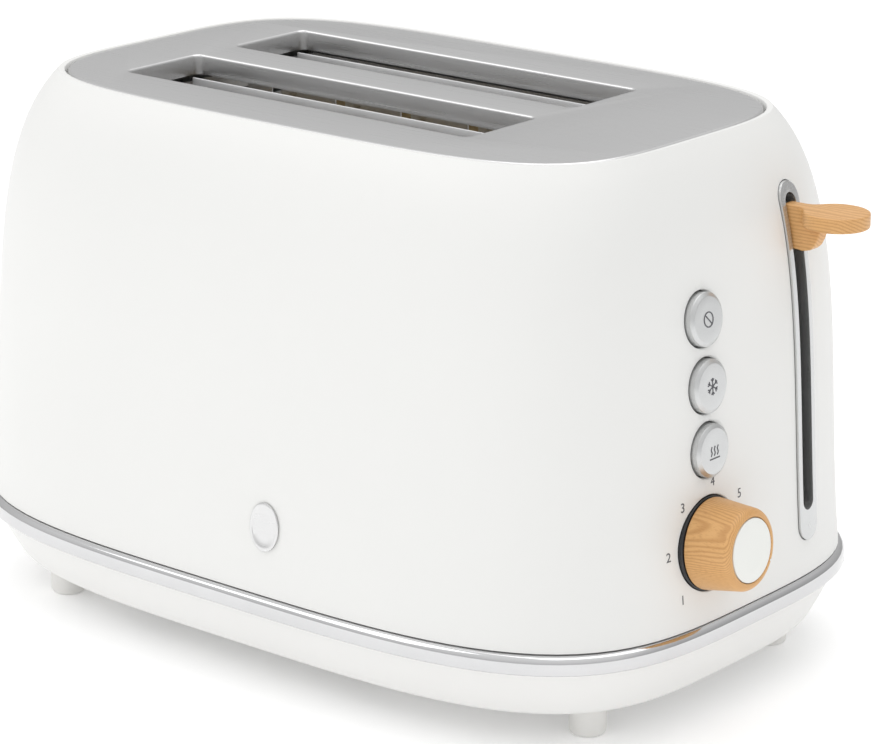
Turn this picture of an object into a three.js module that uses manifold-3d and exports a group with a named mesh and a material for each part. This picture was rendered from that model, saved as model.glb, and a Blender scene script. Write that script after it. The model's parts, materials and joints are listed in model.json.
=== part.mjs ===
// A two-slot pop up toaster, in millimetres, +Z up.
// +X is the control end, with the lever, the buttons and the browning knob. It stands on z = 0.
import * as THREE from "three";
import { mergeVertices } from "three/addons/utils/BufferGeometryUtils.js";
import Module from "manifold-3d";

const wasm = await Module();
wasm.setup();

// ---------------------------------------------------------------- driving dimensions

// Bread slots, and the bays between them and the casing's lower edge
const slotLength = 147;
const slotWidth = 36;
const slotPitch = 54;
const controlBay = 82;
const rearBay = 57;
const sideBay = 51.8;

// Casing: it leans in from its lower edge to its rim
const casingHeight = 146.5;
const endTaper = 26.3;
const sideTaper = 24.1;
const lowerRoundness = 3.62;
const upperRoundness = 4.27;
const wall = 2.4;

// Top plate, set into the rim
const rimLip = 1.75;
const plateSeam = 0.8;
const plateDrop = 0.7;
const plateDepth = 3.4;
const plateSheet = 1;
const ledgeWidth = 4.5;
const ledgeSheet = 2;
const flangeDepth = 6;
const flangeSheet = 0.9;
const slotCorner = 3;

// Base: chrome band, skirt, floor and feet
const bandHeight = 6.4;
const bandProud = 2;
const bandBevel = 2.7;
const bandSection = 4.4;
const skirtHeight = 18.2;
const skirtEndTaper = 8.2;
const skirtSideTaper = 10.1;
const skirtRound = 3;
const floorSheet = 2.5;
const footHeight = 10.5;
const footRadius = 6;
const controlFootInset = 27;
const rearFootInset = 46;
const controlFootSpan = 101;
const rearFootSpan = 134;
const footStemRadius = 2.5;
const postSetback = 93;
const postInset = 20;
const postHeight = 16;
const postRadius = 4;
const pilotRadius = 1.8;
const ventCount = 7;
const ventPitch = 16;
const ventWidth = 4;
const ventLength = 14;
const ventY = 63;
const glandSetback = 52;
const glandInset = 34;
const glandBore = 3.8;
const glandWall = 1.6;
const glandFlange = 2;

// Badge on the near side
const badgeX = 20.3;
const badgeHeight = 22.5;
const badgeWidth = 12;
const badgeTall = 16;
const badgeThick = 0.8;

// Gaps: between pieces that touch, and around pieces that move
const gap = 0.3;
const running = 0.5;

// Lever and its slot
const leverY = 33.5;
const leverDrop = 31.9;
const leverLowest = 29.6;
const neckHeight = 12.8;
const neckWidth = 5.4;
const headroom = 3.9;
const footroom = 1.9;
const leverSlotWidth = 6.5;
const leverTrimWidth = 11;
const leverTrimTop = 3.4;
const leverTrimFoot = 10;
const leverTrimProud = 0.8;
const leverTrimDepth = 3.5;
const paddleRadius = 10.7;
const paddleThick = 4.9;
const paddleReach = 16.2;

// Buttons, from the top one down, stacked above the browning knob
const controlsY = -21;
const buttonNames = ["cancel", "defrost", "reheat"];
const buttonGaps = [3.9, 3.5];
const knobToButton = 6.2;
const buttonRadius = 8.5;
const buttonProud = 2.7;
const buttonTravel = 2.2;
const plungerRadius = 3;
const switchSide = 12;
const switchDepth = 7.5;
const switchDistance = 10.5;
const knobHeight = 25.2;
const bezelRadius = 15;
const knobBaseRadius = 14.2;
const knobNoseRadius = 13.2;
const knobLength = 16.2;
const knobEdge = 2.6;
const capRadius = 10.2;
const capThick = 1.2;
const shaftRadius = 3;
const browningSide = 20;
const browningDepth = 9;
const browningDistance = 15;
const pointerAngle = 120;

// Works inside the casing
const endPlateGap = 4;
const endPlateSheet = 1;
const chassisHalfWidth = 58;
const legWidth = 4;
const reflectorSheet = 0.8;
const reflectorInset = 2.5;
const guideSheet = 0.8;
const guideOffset = 13;
const guideTravel = 6;
const guideTopDrop = 6.5;
const guideNotchPitch = 29;
const boardSheet = 1;
const boardClearOfSlot = 3.5;
const ribbonSheet = 0.4;
const ribbonRows = 9;
const lifterSheet = 3;
const lifterHeight = 8;
const lifterFingerReach = 5.5;
const lifterDrop = 60;
const fingerCount = 6;
const fingerPitch = 22;
const carriageSetback = 5;
const carriageSheet = 1.6;
const carriageBlock = 7;
const blockHalfHeight = 10;
const armHeight = 9;
const armSheet = 3;
const keeperSetback = 10.5;
const keeperSheet = 2.4;
const magnetY = 10;
const trayHalfWidth = 48;
const traySheet = 0.8;
const trayLip = 3;
const trayReach = 32;
const trayHandleSheet = 1.8;
const trayPullHalfWidth = 22;
const rodRadius = 2.5;
const rodSetback = 30;
const springRadius = 4.6;
const springWire = 1.2;
const springTurns = 11;

// ---------------------------------------------------------------- what follows from them

const casingLength = slotLength + controlBay + rearBay;
const casingWidth = slotPitch + slotWidth + 2 * sideBay;
const slotX = -casingLength / 2 + rearBay + slotLength / 2;
const slotStart = slotX - slotLength / 2;
const slotEnd = slotX + slotLength / 2;
const floorTop = footHeight + floorSheet;
const bandBottom = footHeight + skirtHeight;
const bandTop = bandBottom + gap + bandHeight;
const casingBottom = bandTop + gap;
const rimTop = casingBottom + casingHeight;
const plateTop = rimTop - plateDrop;
const ledgeTop = plateTop - plateDepth - gap;
const plateHalfLength = casingLength / 2 - endTaper - rimLip - plateSeam;
const plateHalfWidth = casingWidth / 2 - sideTaper - rimLip - plateSeam;
const leverRest = rimTop - leverDrop;
const leverTravel = leverRest - casingBottom - leverLowest;
const leverSlotTop = leverRest + neckHeight / 2 + headroom;
const leverSlotFoot = leverRest - neckHeight / 2 - leverTravel - footroom;

// ---------------------------------------------------------------- rings and solids

const RING = 40;
const PROFILE = 8;

// Points round a superellipse, anticlockwise seen from above.
function ring(halfX, halfY, roundness, z) {
  const points = [];
  for (let i = 0; i < RING; i += 1) {
    const turn = (2 * Math.PI * i) / RING;
    const along = Math.cos(turn);
    const across = Math.sin(turn);
    points.push([
      halfX * Math.sign(along) * Math.abs(along) ** (2 / roundness),
      halfY * Math.sign(across) * Math.abs(across) ** (2 / roundness),
      z,
    ]);
  }
  return points;
}

function indexed(points, faces) {
  const geometry = new THREE.BufferGeometry();
  geometry.setAttribute("position", new THREE.Float32BufferAttribute(points.flat(), 3));
  geometry.setIndex(faces);
  return geometry;
}

function bridge(faces, lower, upper) {
  for (let j = 0; j < RING; j += 1) {
    const next = (j + 1) % RING;
    faces.push(lower + j, lower + next, upper + next, lower + j, upper + next, upper + j);
  }
}

// Rings up the outside and down the inside, closed on themselves: a hoop or an open shell.
function hoop(rings) {
  const faces = [];
  rings.forEach((_, i) => bridge(faces, i * RING, ((i + 1) % rings.length) * RING));
  return indexed(rings.flat(), faces);
}

// Rings from the bottom up, closed by a flat face at each end.
function filled(rings) {
  const faces = [];
  rings.slice(1).forEach((_, i) => bridge(faces, i * RING, (i + 1) * RING));
  const top = (rings.length - 1) * RING;
  const points = [...rings.flat(), [0, 0, rings[0][0][2]], [0, 0, rings.at(-1)[0][2]]];
  for (let j = 0; j < RING; j += 1) {
    const next = (j + 1) % RING;
    faces.push(points.length - 2, next, j, points.length - 1, top + j, top + next);
  }
  return indexed(points, faces);
}

function solid(geometry) {
  const bare = geometry.clone();
  bare.deleteAttribute("normal");
  bare.deleteAttribute("uv");
  const merged = mergeVertices(bare, 1e-4);
  return new wasm.Manifold(
    new wasm.Mesh({
      numProp: 3,
      vertProperties: new Float32Array(merged.attributes.position.array),
      triVerts: new Uint32Array(merged.index.array),
    }),
  );
}

function geometryOf(made) {
  const mesh = made.getMesh();
  const geometry = new THREE.BufferGeometry();
  geometry.setAttribute("position", new THREE.BufferAttribute(mesh.vertProperties, 3));
  geometry.setIndex(new THREE.BufferAttribute(mesh.triVerts, 1));
  geometry.computeVertexNormals();
  return geometry;
}

const cut = (body, ...tools) => tools.reduce((left, tool) => left.subtract(tool), body);
const join = (...bodies) => bodies.reduce((all, body) => all.add(body));

function block(x0, x1, y0, y1, z0, z1) {
  const geometry = new THREE.BoxGeometry(x1 - x0, y1 - y0, z1 - z0);
  return geometry.translate((x0 + x1) / 2, (y0 + y1) / 2, (z0 + z1) / 2);
}

const slab = (...limits) => solid(block(...limits));

// A turned piece about +Z. Its profile of [radius, height] points starts and ends on the axis.
function turned(profile, facets = 20) {
  const points = profile.map(([r, z]) => new THREE.Vector2(r, z));
  return new THREE.LatheGeometry(points, facets).rotateX(Math.PI / 2);
}

function post(radius, z0, z1, facets = 20) {
  return turned([[0, z0], [radius, z0], [radius, z1], [0, z1]], facets);
}

function extruded(shape, depth, curveSegments = 6) {
  return new THREE.ExtrudeGeometry(shape, { depth, bevelEnabled: false, curveSegments });
}

// A flat outline in (y, z), given its thickness along +X from x0 to x1.
function panel(shape, x0, x1) {
  return extruded(shape, x1 - x0).rotateX(Math.PI / 2).rotateZ(Math.PI / 2).translate(x0, 0, 0);
}

// A flat outline in (x, z), given its thickness along +Y from y0 to y1.
function upright(shape, y0, y1) {
  return extruded(shape, y1 - y0).rotateX(Math.PI / 2).translate(0, y1, 0);
}

function stadium(centre, width, low, high) {
  const radius = width / 2;
  const shape = new THREE.Shape();
  shape.moveTo(centre + radius, low + radius);
  shape.lineTo(centre + radius, high - radius);
  shape.absarc(centre, high - radius, radius, 0, Math.PI, false);
  shape.lineTo(centre - radius, low + radius);
  shape.absarc(centre, low + radius, radius, Math.PI, 2 * Math.PI, false);
  return shape;
}

// ---------------------------------------------------------------- casing surface

// How far the casing has leant in (first number) by a share of its height (second number)
const lean = new THREE.CubicBezierCurve(
  new THREE.Vector2(0, 0),
  new THREE.Vector2(0.27, 0.4),
  new THREE.Vector2(0.1, 0.82),
  new THREE.Vector2(1, 1),
);

function leanTurnAt(z) {
  let low = 0;
  let high = 1;
  for (let i = 0; i < 40; i += 1) {
    const middle = (low + high) / 2;
    if (casingBottom + casingHeight * lean.getPoint(middle).y < z) low = middle;
    else high = middle;
  }
  return (low + high) / 2;
}

// The casing's half sizes, roundness and height at a point of its profile, pushed out by offset.
function casingLevel(turn, offset = 0) {
  const { x: inset, y: rise } = lean.getPoint(turn);
  const step = lean.getTangent(turn);
  const up = step.y * casingHeight;
  return [
    casingLength / 2 - inset * endTaper + (offset * Math.hypot(step.x * endTaper, up)) / up,
    casingWidth / 2 - inset * sideTaper + (offset * Math.hypot(step.x * sideTaper, up)) / up,
    lowerRoundness + (upperRoundness - lowerRoundness) * rise,
    casingBottom + casingHeight * rise,
  ];
}

const casingRings = (offset, top = 1) =>
  Array.from({ length: PROFILE + 1 }, (_, i) => ring(...casingLevel((top * i) / PROFILE, offset)));

// x of the control end's outer face
function faceX(y, z) {
  const [halfX, halfY, roundness] = casingLevel(leanTurnAt(z));
  return halfX * (1 - Math.abs(y / halfY) ** roundness) ** (1 / roundness);
}

// y of the far side's outer face
function sideY(x, z) {
  const [halfX, halfY, roundness] = casingLevel(leanTurnAt(z));
  return halfY * (1 - Math.abs(x / halfX) ** roundness) ** (1 / roundness);
}

// How far the control end's face is tipped back from upright
const faceTilt = (y, z) => Math.atan((faceX(y, z - 1) - faceX(y, z + 1)) / 2);

// A group whose +Z stands out of the control end's face
function onFace(y, z) {
  const group = new THREE.Group();
  group.position.set(faceX(y, z), y, z);
  group.rotation.y = Math.PI / 2 - faceTilt(y, z);
  return group;
}

// The same place and turn for a tool that cuts the casing
function facing(group, geometry) {
  group.updateMatrix();
  return solid(geometry.clone().applyMatrix4(group.matrix));
}

const knobZ = casingBottom + knobHeight;
const reheatZ = knobZ + bezelRadius + knobToButton + buttonRadius;
const defrostZ = reheatZ + 2 * buttonRadius + buttonGaps[1];
const cancelZ = defrostZ + 2 * buttonRadius + buttonGaps[0];
const buttonPlaces = [cancelZ, defrostZ, reheatZ].map((z) => onFace(controlsY, z));
const knobPlace = onFace(controlsY - 1, knobZ);

// ---------------------------------------------------------------- finishes

const finishes = {
  casing: [0xf1f0ed, 0.55, 0],
  steel: [0xb9b9b7, 0.35, 1],
  chrome: [0xe4e6e8, 0.08, 1],
  zinc: [0xa9abad, 0.5, 1],
  wood: [0xd39c5c, 0.5, 0],
  silver: [0xc9cbcc, 0.35, 0.8],
  white: [0xf1f1ef, 0.4, 0],
  black: [0x1d1e20, 0.5, 0],
  rubber: [0xe9e9e6, 0.8, 0],
  mica: [0xc9b48c, 0.7, 0],
  ribbon: [0x8c8780, 0.5, 1],
  copper: [0xb46a3c, 0.4, 1],
  board: [0x2f6b3c, 0.6, 0],
};
const materials = Object.fromEntries(
  Object.entries(finishes).map(([name, [color, roughness, metalness]]) => [
    name,
    new THREE.MeshStandardMaterial({ name, color, roughness, metalness, flatShading: true }),
  ]),
);

const toaster = new THREE.Group();
toaster.name = "toaster";

function piece(name, finish, shape, parent = toaster) {
  const geometry = shape.isBufferGeometry ? shape : geometryOf(shape);
  const mesh = new THREE.Mesh(geometry, materials[finish]);
  mesh.name = name;
  parent.add(mesh);
  return mesh;
}

// ---------------------------------------------------------------- casing, plate and band

const sides = [-1, 1];
const postX = casingLength / 2 - postSetback;
const postPlaces = sides.flatMap((end) => sides.map((side) => [end * postX, side]));
const postY = (side) => side * (casingWidth / 2 - postInset);

// A screw post with the rib that ties it to the casing's long wall
function screwPost([x, side]) {
  const y = postY(side);
  const top = casingBottom + postHeight;
  const outer = side * (sideY(x, top) - wall * 0.6);
  const stem = solid(post(postRadius, floorTop + gap, top, 12).translate(x, y, 0));
  const rib = slab(x - 1.5, x + 1.5, Math.min(y, outer), Math.max(y, outer), casingBottom + 2, top);
  return join(stem, rib);
}

function casingShell() {
  const outside = casingRings(0);
  const seatX = plateHalfLength + plateSeam;
  const seatY = plateHalfWidth + plateSeam;
  const ledgeX = plateHalfLength - ledgeWidth;
  const ledgeY = plateHalfWidth - ledgeWidth;
  const lip = [
    ring(seatX + 0.5, seatY + 0.5, upperRoundness, rimTop),
    ring(seatX, seatY, upperRoundness, rimTop - 0.5),
    ring(seatX, seatY, upperRoundness, ledgeTop),
    ring(ledgeX, ledgeY, upperRoundness, ledgeTop),
    ring(ledgeX, ledgeY, upperRoundness, ledgeTop - ledgeSheet),
  ];
  const inside = casingRings(-wall, leanTurnAt(ledgeTop - ledgeSheet)).reverse();
  const shell = join(solid(hoop([...outside, ...lip, ...inside])), ...postPlaces.map(screwPost));
  const openings = [
    solid(panel(leverTrimOutline(gap), slotEnd, casingLength)),
    ...buttonPlaces.map((place) => facing(place, post(buttonRadius + running, -12, 12))),
    facing(knobPlace, post(bezelRadius + gap, -12, 12, 36)),
    ...postPlaces.map(([x, side]) =>
      solid(post(pilotRadius, floorTop - 1, floorTop + 20, 12).translate(x, postY(side), 0)),
    ),
  ];
  return cut(shell, ...openings);
}

const slotCentres = [-slotPitch / 2, slotPitch / 2];

// One bread slot's outline seen from above, grown by margin
function slotPrism(centre, margin, z0, z1) {
  const shape = new THREE.Shape();
  const halfX = slotLength / 2 + margin;
  const halfY = slotWidth / 2 + margin;
  const r = slotCorner + margin;
  shape.moveTo(slotX - halfX + r, centre - halfY);
  shape.lineTo(slotX + halfX - r, centre - halfY);
  shape.absarc(slotX + halfX - r, centre - halfY + r, r, -Math.PI / 2, 0, false);
  shape.lineTo(slotX + halfX, centre + halfY - r);
  shape.absarc(slotX + halfX - r, centre + halfY - r, r, 0, Math.PI / 2, false);
  shape.lineTo(slotX - halfX + r, centre + halfY);
  shape.absarc(slotX - halfX + r, centre + halfY - r, r, Math.PI / 2, Math.PI, false);
  shape.lineTo(slotX - halfX, centre - halfY + r);
  shape.absarc(slotX - halfX + r, centre - halfY + r, r, Math.PI, 1.5 * Math.PI, false);
  return solid(extruded(shape, z1 - z0, 4).translate(0, 0, z0));
}

function topPlate() {
  const skin = solid(
    filled([
      ring(plateHalfLength, plateHalfWidth, upperRoundness, plateTop - plateDepth),
      ring(plateHalfLength, plateHalfWidth, upperRoundness, plateTop - 1.2),
      ring(plateHalfLength - 0.4, plateHalfWidth - 0.4, upperRoundness, plateTop - 0.35),
      ring(plateHalfLength - 1.2, plateHalfWidth - 1.2, upperRoundness, plateTop),
    ]),
  );
  const under = [plateTop - plateDepth - 1, plateTop - plateSheet].map((z) =>
    ring(plateHalfLength - plateSheet, plateHalfWidth - plateSheet, upperRoundness, z),
  );
  const low = plateTop - plateSheet - flangeDepth;
  const flanges = slotCentres.map((y) => slotPrism(y, flangeSheet, low, plateTop - plateSheet / 2));
  const holes = slotCentres.map((y) => slotPrism(y, 0, low - 1, plateTop + 1));
  return cut(join(cut(skin, solid(filled(under))), ...flanges), ...holes);
}

function trimBand() {
  const a = casingLength / 2;
  const b = casingWidth / 2;
  const low = bandBottom + gap;
  const level = (out, z) => ring(a + out, b + out, lowerRoundness, z);
  const inner = bandProud - bandSection;
  return hoop([
    level(bandProud - 0.8, low),
    level(bandProud, low + 0.8),
    level(bandProud, bandTop - bandBevel),
    level(bandProud - 0.5, bandTop - bandBevel * 0.55),
    level(0.4, bandTop),
    level(inner, bandTop),
    level(inner, low),
  ]);
}

function badge() {
  const shape = new THREE.Shape();
  const height = casingBottom + badgeHeight;
  shape.absellipse(badgeX, height, badgeWidth / 2, badgeTall / 2, 0, 2 * Math.PI, false);
  const column = solid(upright(shape, -casingWidth, 0));
  const front = solid(filled(casingRings(gap + badgeThick)));
  return column.intersect(front).subtract(solid(filled(casingRings(gap))));
}

// ---------------------------------------------------------------- base

// The skirt's outline at a height, pushed out by offset. It leans in towards the floor.
function skirtLevel(z, offset = 0) {
  const share = (z - footHeight) / skirtHeight;
  const drawn = 1 - share ** 0.8;
  return [
    casingLength / 2 - 0.4 - skirtEndTaper * drawn + offset,
    casingWidth / 2 - 0.4 - skirtSideTaper * drawn + offset,
    lowerRoundness,
    z,
  ];
}

// Half sizes and roundness of one level of the skirt, at a height of its own
const skirtRing = (level, z) => ring(...level.slice(0, 3), z);

function skirtBody(offset) {
  const steps = [0.18, 0.35, 0.55, 0.78, 1];
  const roundingTop = footHeight + 0.25 * skirtRound;
  const walls = steps.map((share) => ring(...skirtLevel(footHeight + share * skirtHeight, offset)));
  const rounding = [
    skirtRing(skirtLevel(footHeight, offset - skirtRound), footHeight - Math.max(offset, 0)),
    ring(...skirtLevel(roundingTop, offset - 0.3 * skirtRound)),
  ];
  return solid(filled([...rounding, ...walls]));
}

const trayOpeningTop = floorTop + gap + trayLip + 2.4;
const feet = [
  ["foot_near_control", casingLength / 2 - controlFootInset, -controlFootSpan / 2],
  ["foot_far_control", casingLength / 2 - controlFootInset, controlFootSpan / 2],
  ["foot_near_rear", rearFootInset - casingLength / 2, -rearFootSpan / 2],
  ["foot_far_rear", rearFootInset - casingLength / 2, rearFootSpan / 2],
];
const glandX = casingLength / 2 - glandSetback;
const glandY = casingWidth / 2 - glandInset;
const glandNeck = glandBore + glandWall;
const trayFront = slotStart - trayReach;
const trayMouthDepth = slotStart - 20;

function skirtVents() {
  return sides.flatMap((side) =>
    Array.from({ length: ventCount }, (_, i) => {
      const x = slotX + (i - (ventCount - 1) / 2) * ventPitch;
      const y = side * ventY;
      const halfX = ventWidth / 2;
      const halfY = ventLength / 2;
      return slab(x - halfX, x + halfX, y - halfY, y + halfY, footHeight - 1, floorTop + 1);
    }),
  );
}

function skirtBores() {
  const bore = (radius, x, y) => solid(post(radius, footHeight - 1, floorTop + 1, 12).translate(x, y, 0));
  return [
    ...feet.map(([, x, y]) => bore(footStemRadius + gap, x, y)),
    ...postPlaces.map(([x, side]) => bore(pilotRadius, x, postY(side))),
    solid(post(glandNeck + gap, footHeight - 1, floorTop + 1, 16).translate(glandX, glandY, 0)),
  ];
}

// A rail beside the crumb tray
function trayRail(side) {
  const near = side * (trayHalfWidth + 1);
  const far = side * (trayHalfWidth + 3);
  const top = floorTop + trayLip;
  return slab(trayMouthDepth, slotEnd + 1, Math.min(near, far), Math.max(near, far), floorTop - 0.5, top);
}

function baseSkirt() {
  const inside = [
    ring(...skirtLevel(floorTop, -wall)),
    ring(...skirtLevel(bandBottom - skirtHeight / 3, -wall)),
    skirtRing(skirtLevel(bandBottom, -wall), bandBottom + 1),
  ];
  const half = trayHalfWidth + 1;
  const mouth = slab(-casingLength, trayMouthDepth, -half, half, floorTop, trayOpeningTop);
  const shell = cut(skirtBody(0), solid(filled(inside)), mouth, ...skirtVents(), ...skirtBores());
  return join(shell, ...sides.map(trayRail));
}

function foot() {
  return turned([
    [0, 0],
    [footRadius - 1.8, 0],
    [footRadius - 0.5, 0.6],
    [footRadius, 2],
    [footRadius, footHeight - gap],
    [footStemRadius, footHeight - gap],
    [footStemRadius, floorTop],
    [0, floorTop],
  ], 16);
}

function baseScrew() {
  return turned([
    [0, footHeight - 2.2],
    [2.6, footHeight - 2.2],
    [3.2, footHeight - 1.4],
    [3.2, footHeight - gap],
    [1.4, footHeight - gap],
    [1.4, floorTop + 14],
    [0, floorTop + 15],
  ], 10);
}

function cordGland() {
  const outer = glandNeck + glandFlange;
  return turned([
    [glandBore, footHeight - 3],
    [outer - 0.6, footHeight - 3],
    [outer, footHeight - 2.4],
    [outer, footHeight - gap],
    [glandNeck, footHeight - gap],
    [glandNeck, floorTop + gap],
    [outer, floorTop + gap],
    [outer, floorTop + 2],
    [glandBore, floorTop + 2],
    [glandBore, footHeight - 3],
  ], 16);
}

function crumbTray() {
  const low = floorTop + gap;
  const pan = slab(trayFront, slotEnd, -trayHalfWidth, trayHalfWidth, low, low + trayLip);
  const half = trayHalfWidth - traySheet;
  const inside = [trayFront + traySheet, slotEnd - traySheet, -half, half];
  return cut(pan, slab(...inside, low + traySheet, low + trayLip + 1));
}

function trayHandle() {
  const low = floorTop - 1;
  const top = trayOpeningTop + 1;
  const half = trayHalfWidth + 3;
  const skin = skirtBody(gap + trayHandleSheet).subtract(skirtBody(gap));
  const front = slab(-casingLength, trayMouthDepth, -half, half, low, top).intersect(skin);
  const face = -skirtLevel(floorTop)[0];
  const tongueHalf = trayHalfWidth - 6;
  const tongueSpan = [face - 0.5, trayFront - gap, -tongueHalf, tongueHalf];
  const tongue = slab(...tongueSpan, floorTop + gap, trayOpeningTop - gap);
  const lip = -casingLength / 2 - bandProud;
  const pull = slab(lip, face - 0.9, -trayPullHalfWidth, trayPullHalfWidth, floorTop + 1, floorTop + 3.2);
  return join(front, tongue, pull);
}

// ---------------------------------------------------------------- lever

// The lever's path leans with the casing's end, so that the handle keeps its distance from the face.
const leverFace = faceX(leverY, leverRest);
const leverLean = Math.atan((faceX(leverY, leverRest - leverTravel) - leverFace) / leverTravel);
const neckStart = leverFace - 2.5;

function leverTrimOutline(margin) {
  return stadium(
    leverY,
    leverTrimWidth + 2 * margin,
    leverSlotFoot - leverTrimFoot - margin,
    leverSlotTop + leverTrimTop + margin,
  );
}

function leverTrim() {
  const slot = stadium(leverY, leverSlotWidth, leverSlotFoot, leverSlotTop);
  const column = solid(panel(leverTrimOutline(0), slotEnd, casingLength));
  const front = solid(filled(casingRings(leverTrimProud)));
  const back = solid(filled(casingRings(-leverTrimDepth)));
  return column.intersect(front).subtract(back).subtract(solid(panel(slot, slotEnd, casingLength)));
}

function leverHandle() {
  const low = leverRest - neckHeight / 2;
  const top = leverRest + neckHeight / 2 + 0.6;
  const paddleX = leverFace + paddleReach;
  const side = new THREE.Shape();
  side.moveTo(neckStart, low);
  side.lineTo(leverFace + 7, low - 1);
  side.quadraticCurveTo(leverFace + 11.5, low + 0.5, leverFace + 13, top - paddleThick);
  side.lineTo(paddleX + 2, top - paddleThick);
  side.lineTo(paddleX + 2, top);
  side.lineTo(neckStart, top);
  const neck = solid(upright(side, leverY - neckWidth / 2, leverY + neckWidth / 2));
  const paddle = turned([
    [0, top - paddleThick],
    [paddleRadius - 1.6, top - paddleThick],
    [paddleRadius, top - paddleThick + 1.6],
    [paddleRadius, top - 1.2],
    [paddleRadius - 1.2, top],
    [0, top],
  ], 28);
  return join(neck, solid(paddle.translate(paddleX, leverY, 0)));
}

const rodX = leverFace - rodSetback;
const frontPlateX = slotEnd + endPlateGap;
const rearPlateX = slotStart - endPlateGap - endPlateSheet;
const carriageX = frontPlateX + endPlateSheet + carriageSetback;
const lifterTop = plateTop - lifterDrop;
const keeperShelf = lifterTop + 4;
const keeperX = carriageX + keeperSetback;

function leverArm() {
  return block(
    rodX + carriageBlock + gap,
    neckStart - gap,
    leverY - armSheet / 2,
    leverY + armSheet / 2,
    leverRest - armHeight / 2,
    leverRest + armHeight / 2,
  );
}

// ---------------------------------------------------------------- carriage, rod and spring

// A group whose +Z runs up the guide rod, with its origin level with the lever at rest
function alongRod() {
  const group = new THREE.Group();
  group.position.set(rodX, leverY, leverRest);
  group.rotation.y = -leverLean;
  return group;
}

const rodPlace = alongRod();
const rodFoot = (floorTop + 6 - leverRest) / Math.cos(leverLean);
const rodHead = (ledgeTop - 7 - leverRest) / Math.cos(leverLean);

function carriagePlate() {
  const low = lifterTop - lifterHeight - 3;
  const outer = carriageX + carriageSheet;
  const edge = leverY + 5;
  const shelfTop = keeperShelf + carriageSheet;
  const web = slab(carriageX, outer, -slotPitch / 2 - 7, edge, low, shelfTop);
  const riser = slab(carriageX, outer, leverY - 8, edge, low, leverRest + blockHalfHeight);
  const bracket = slab(
    carriageX,
    rodX + carriageBlock,
    leverY - carriageBlock,
    leverY + carriageBlock,
    leverRest - blockHalfHeight,
    leverRest + blockHalfHeight,
  );
  const shelf = slab(carriageX, keeperX + 8, magnetY - 8, magnetY + 8, keeperShelf, shelfTop);
  const bore = facing(rodPlace, post(rodRadius + running, -30, 30, 16));
  return cut(join(web, riser, bracket, shelf), bore);
}

function lifter(centre) {
  const bar = slab(
    rearPlateX - 16,
    carriageX - gap,
    centre - lifterSheet / 2,
    centre + lifterSheet / 2,
    lifterTop - lifterHeight,
    lifterTop,
  );
  const reach = lifterFingerReach;
  const fingers = Array.from({ length: fingerCount }, (_, i) => {
    const x = slotX + (i - (fingerCount - 1) / 2) * fingerPitch;
    return slab(x - 2, x + 2, centre - reach, centre + reach, lifterTop - 1.5, lifterTop);
  });
  return join(bar, ...fingers);
}

function returnSpring() {
  const low = rodFoot + 6;
  const high = -blockHalfHeight / Math.cos(leverLean) - 1.6;
  const radius = springRadius - springWire / 2;
  class Helix extends THREE.Curve {
    getPoint(t, target = new THREE.Vector3()) {
      const turn = 2 * Math.PI * springTurns * t;
      const rise = low + springWire + (high - low - 2 * springWire) * t;
      return target.set(radius * Math.cos(turn), radius * Math.sin(turn), rise);
    }
  }
  const section = new THREE.Shape();
  section.absarc(0, 0, springWire / 2, 0, 2 * Math.PI, false);
  const steps = springTurns * 8;
  return new THREE.ExtrudeGeometry(section, { steps, curveSegments: 3, extrudePath: new Helix() });
}

function rodBrackets() {
  const x0 = frontPlateX + endPlateSheet + gap;
  const hole = facing(rodPlace, post(rodRadius + gap, rodFoot - 30, rodHead + 30, 16));
  const shelf = (z, out) => slab(x0, out, leverY - 9, leverY + 9, z, z + 2);
  const upper = shelf(chassisTop - 5, rodX + 9);
  const lower = shelf(floorTop + 8, rodX + 24);
  return { upper: cut(upper, hole), lower: cut(lower, hole) };
}

// ---------------------------------------------------------------- chassis

const guideTabHeights = [floorTop + 24, plateTop - guideTopDrop - 14];
const guideTab = 4;
const chassisTop = ledgeTop - ledgeSheet - 4;
const chassisLow = trayOpeningTop + 1;

// End plates: sheet steel on two legs, with windows for the lifters and for the guides' tabs
function endPlate(x) {
  const half = chassisHalfWidth;
  const leg = half - legWidth;
  const back = x + endPlateSheet + 1;
  const through = (y0, y1, z0, z1) => slab(x - 1, back, Math.min(y0, y1), Math.max(y0, y1), z0, z1);
  const sheet = slab(x, x + endPlateSheet, -half, half, floorTop + gap, chassisTop);
  const lifterLow = lifterTop - lifterHeight - leverTravel - 2;
  const lifterHalf = lifterSheet / 2 + 1;
  const windows = slotCentres.flatMap((centre) => [
    through(centre - lifterHalf, centre + lifterHalf, lifterLow, lifterTop + 2),
    ...sides.flatMap((side) =>
      guideTabHeights.map((z) => {
        const near = centre + side * (guideOffset - guideTravel - guideSheet / 2 - running);
        const far = centre + side * (guideOffset + guideSheet / 2 + running);
        return through(near, far, z - running, z + guideTab + running);
      }),
    ),
  ]);
  return cut(sheet, through(-leg, leg, 0, chassisLow), ...windows);
}

const chassisLeft = rearPlateX + endPlateSheet + gap;
const chassisRight = frontPlateX - gap;

function reflector(side) {
  const outer = side * (chassisHalfWidth - reflectorInset);
  const inner = side * (chassisHalfWidth - reflectorInset - reflectorSheet);
  const y0 = Math.min(outer, inner);
  return block(chassisLeft, chassisRight, y0, y0 + reflectorSheet, chassisLow, chassisTop);
}

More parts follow.
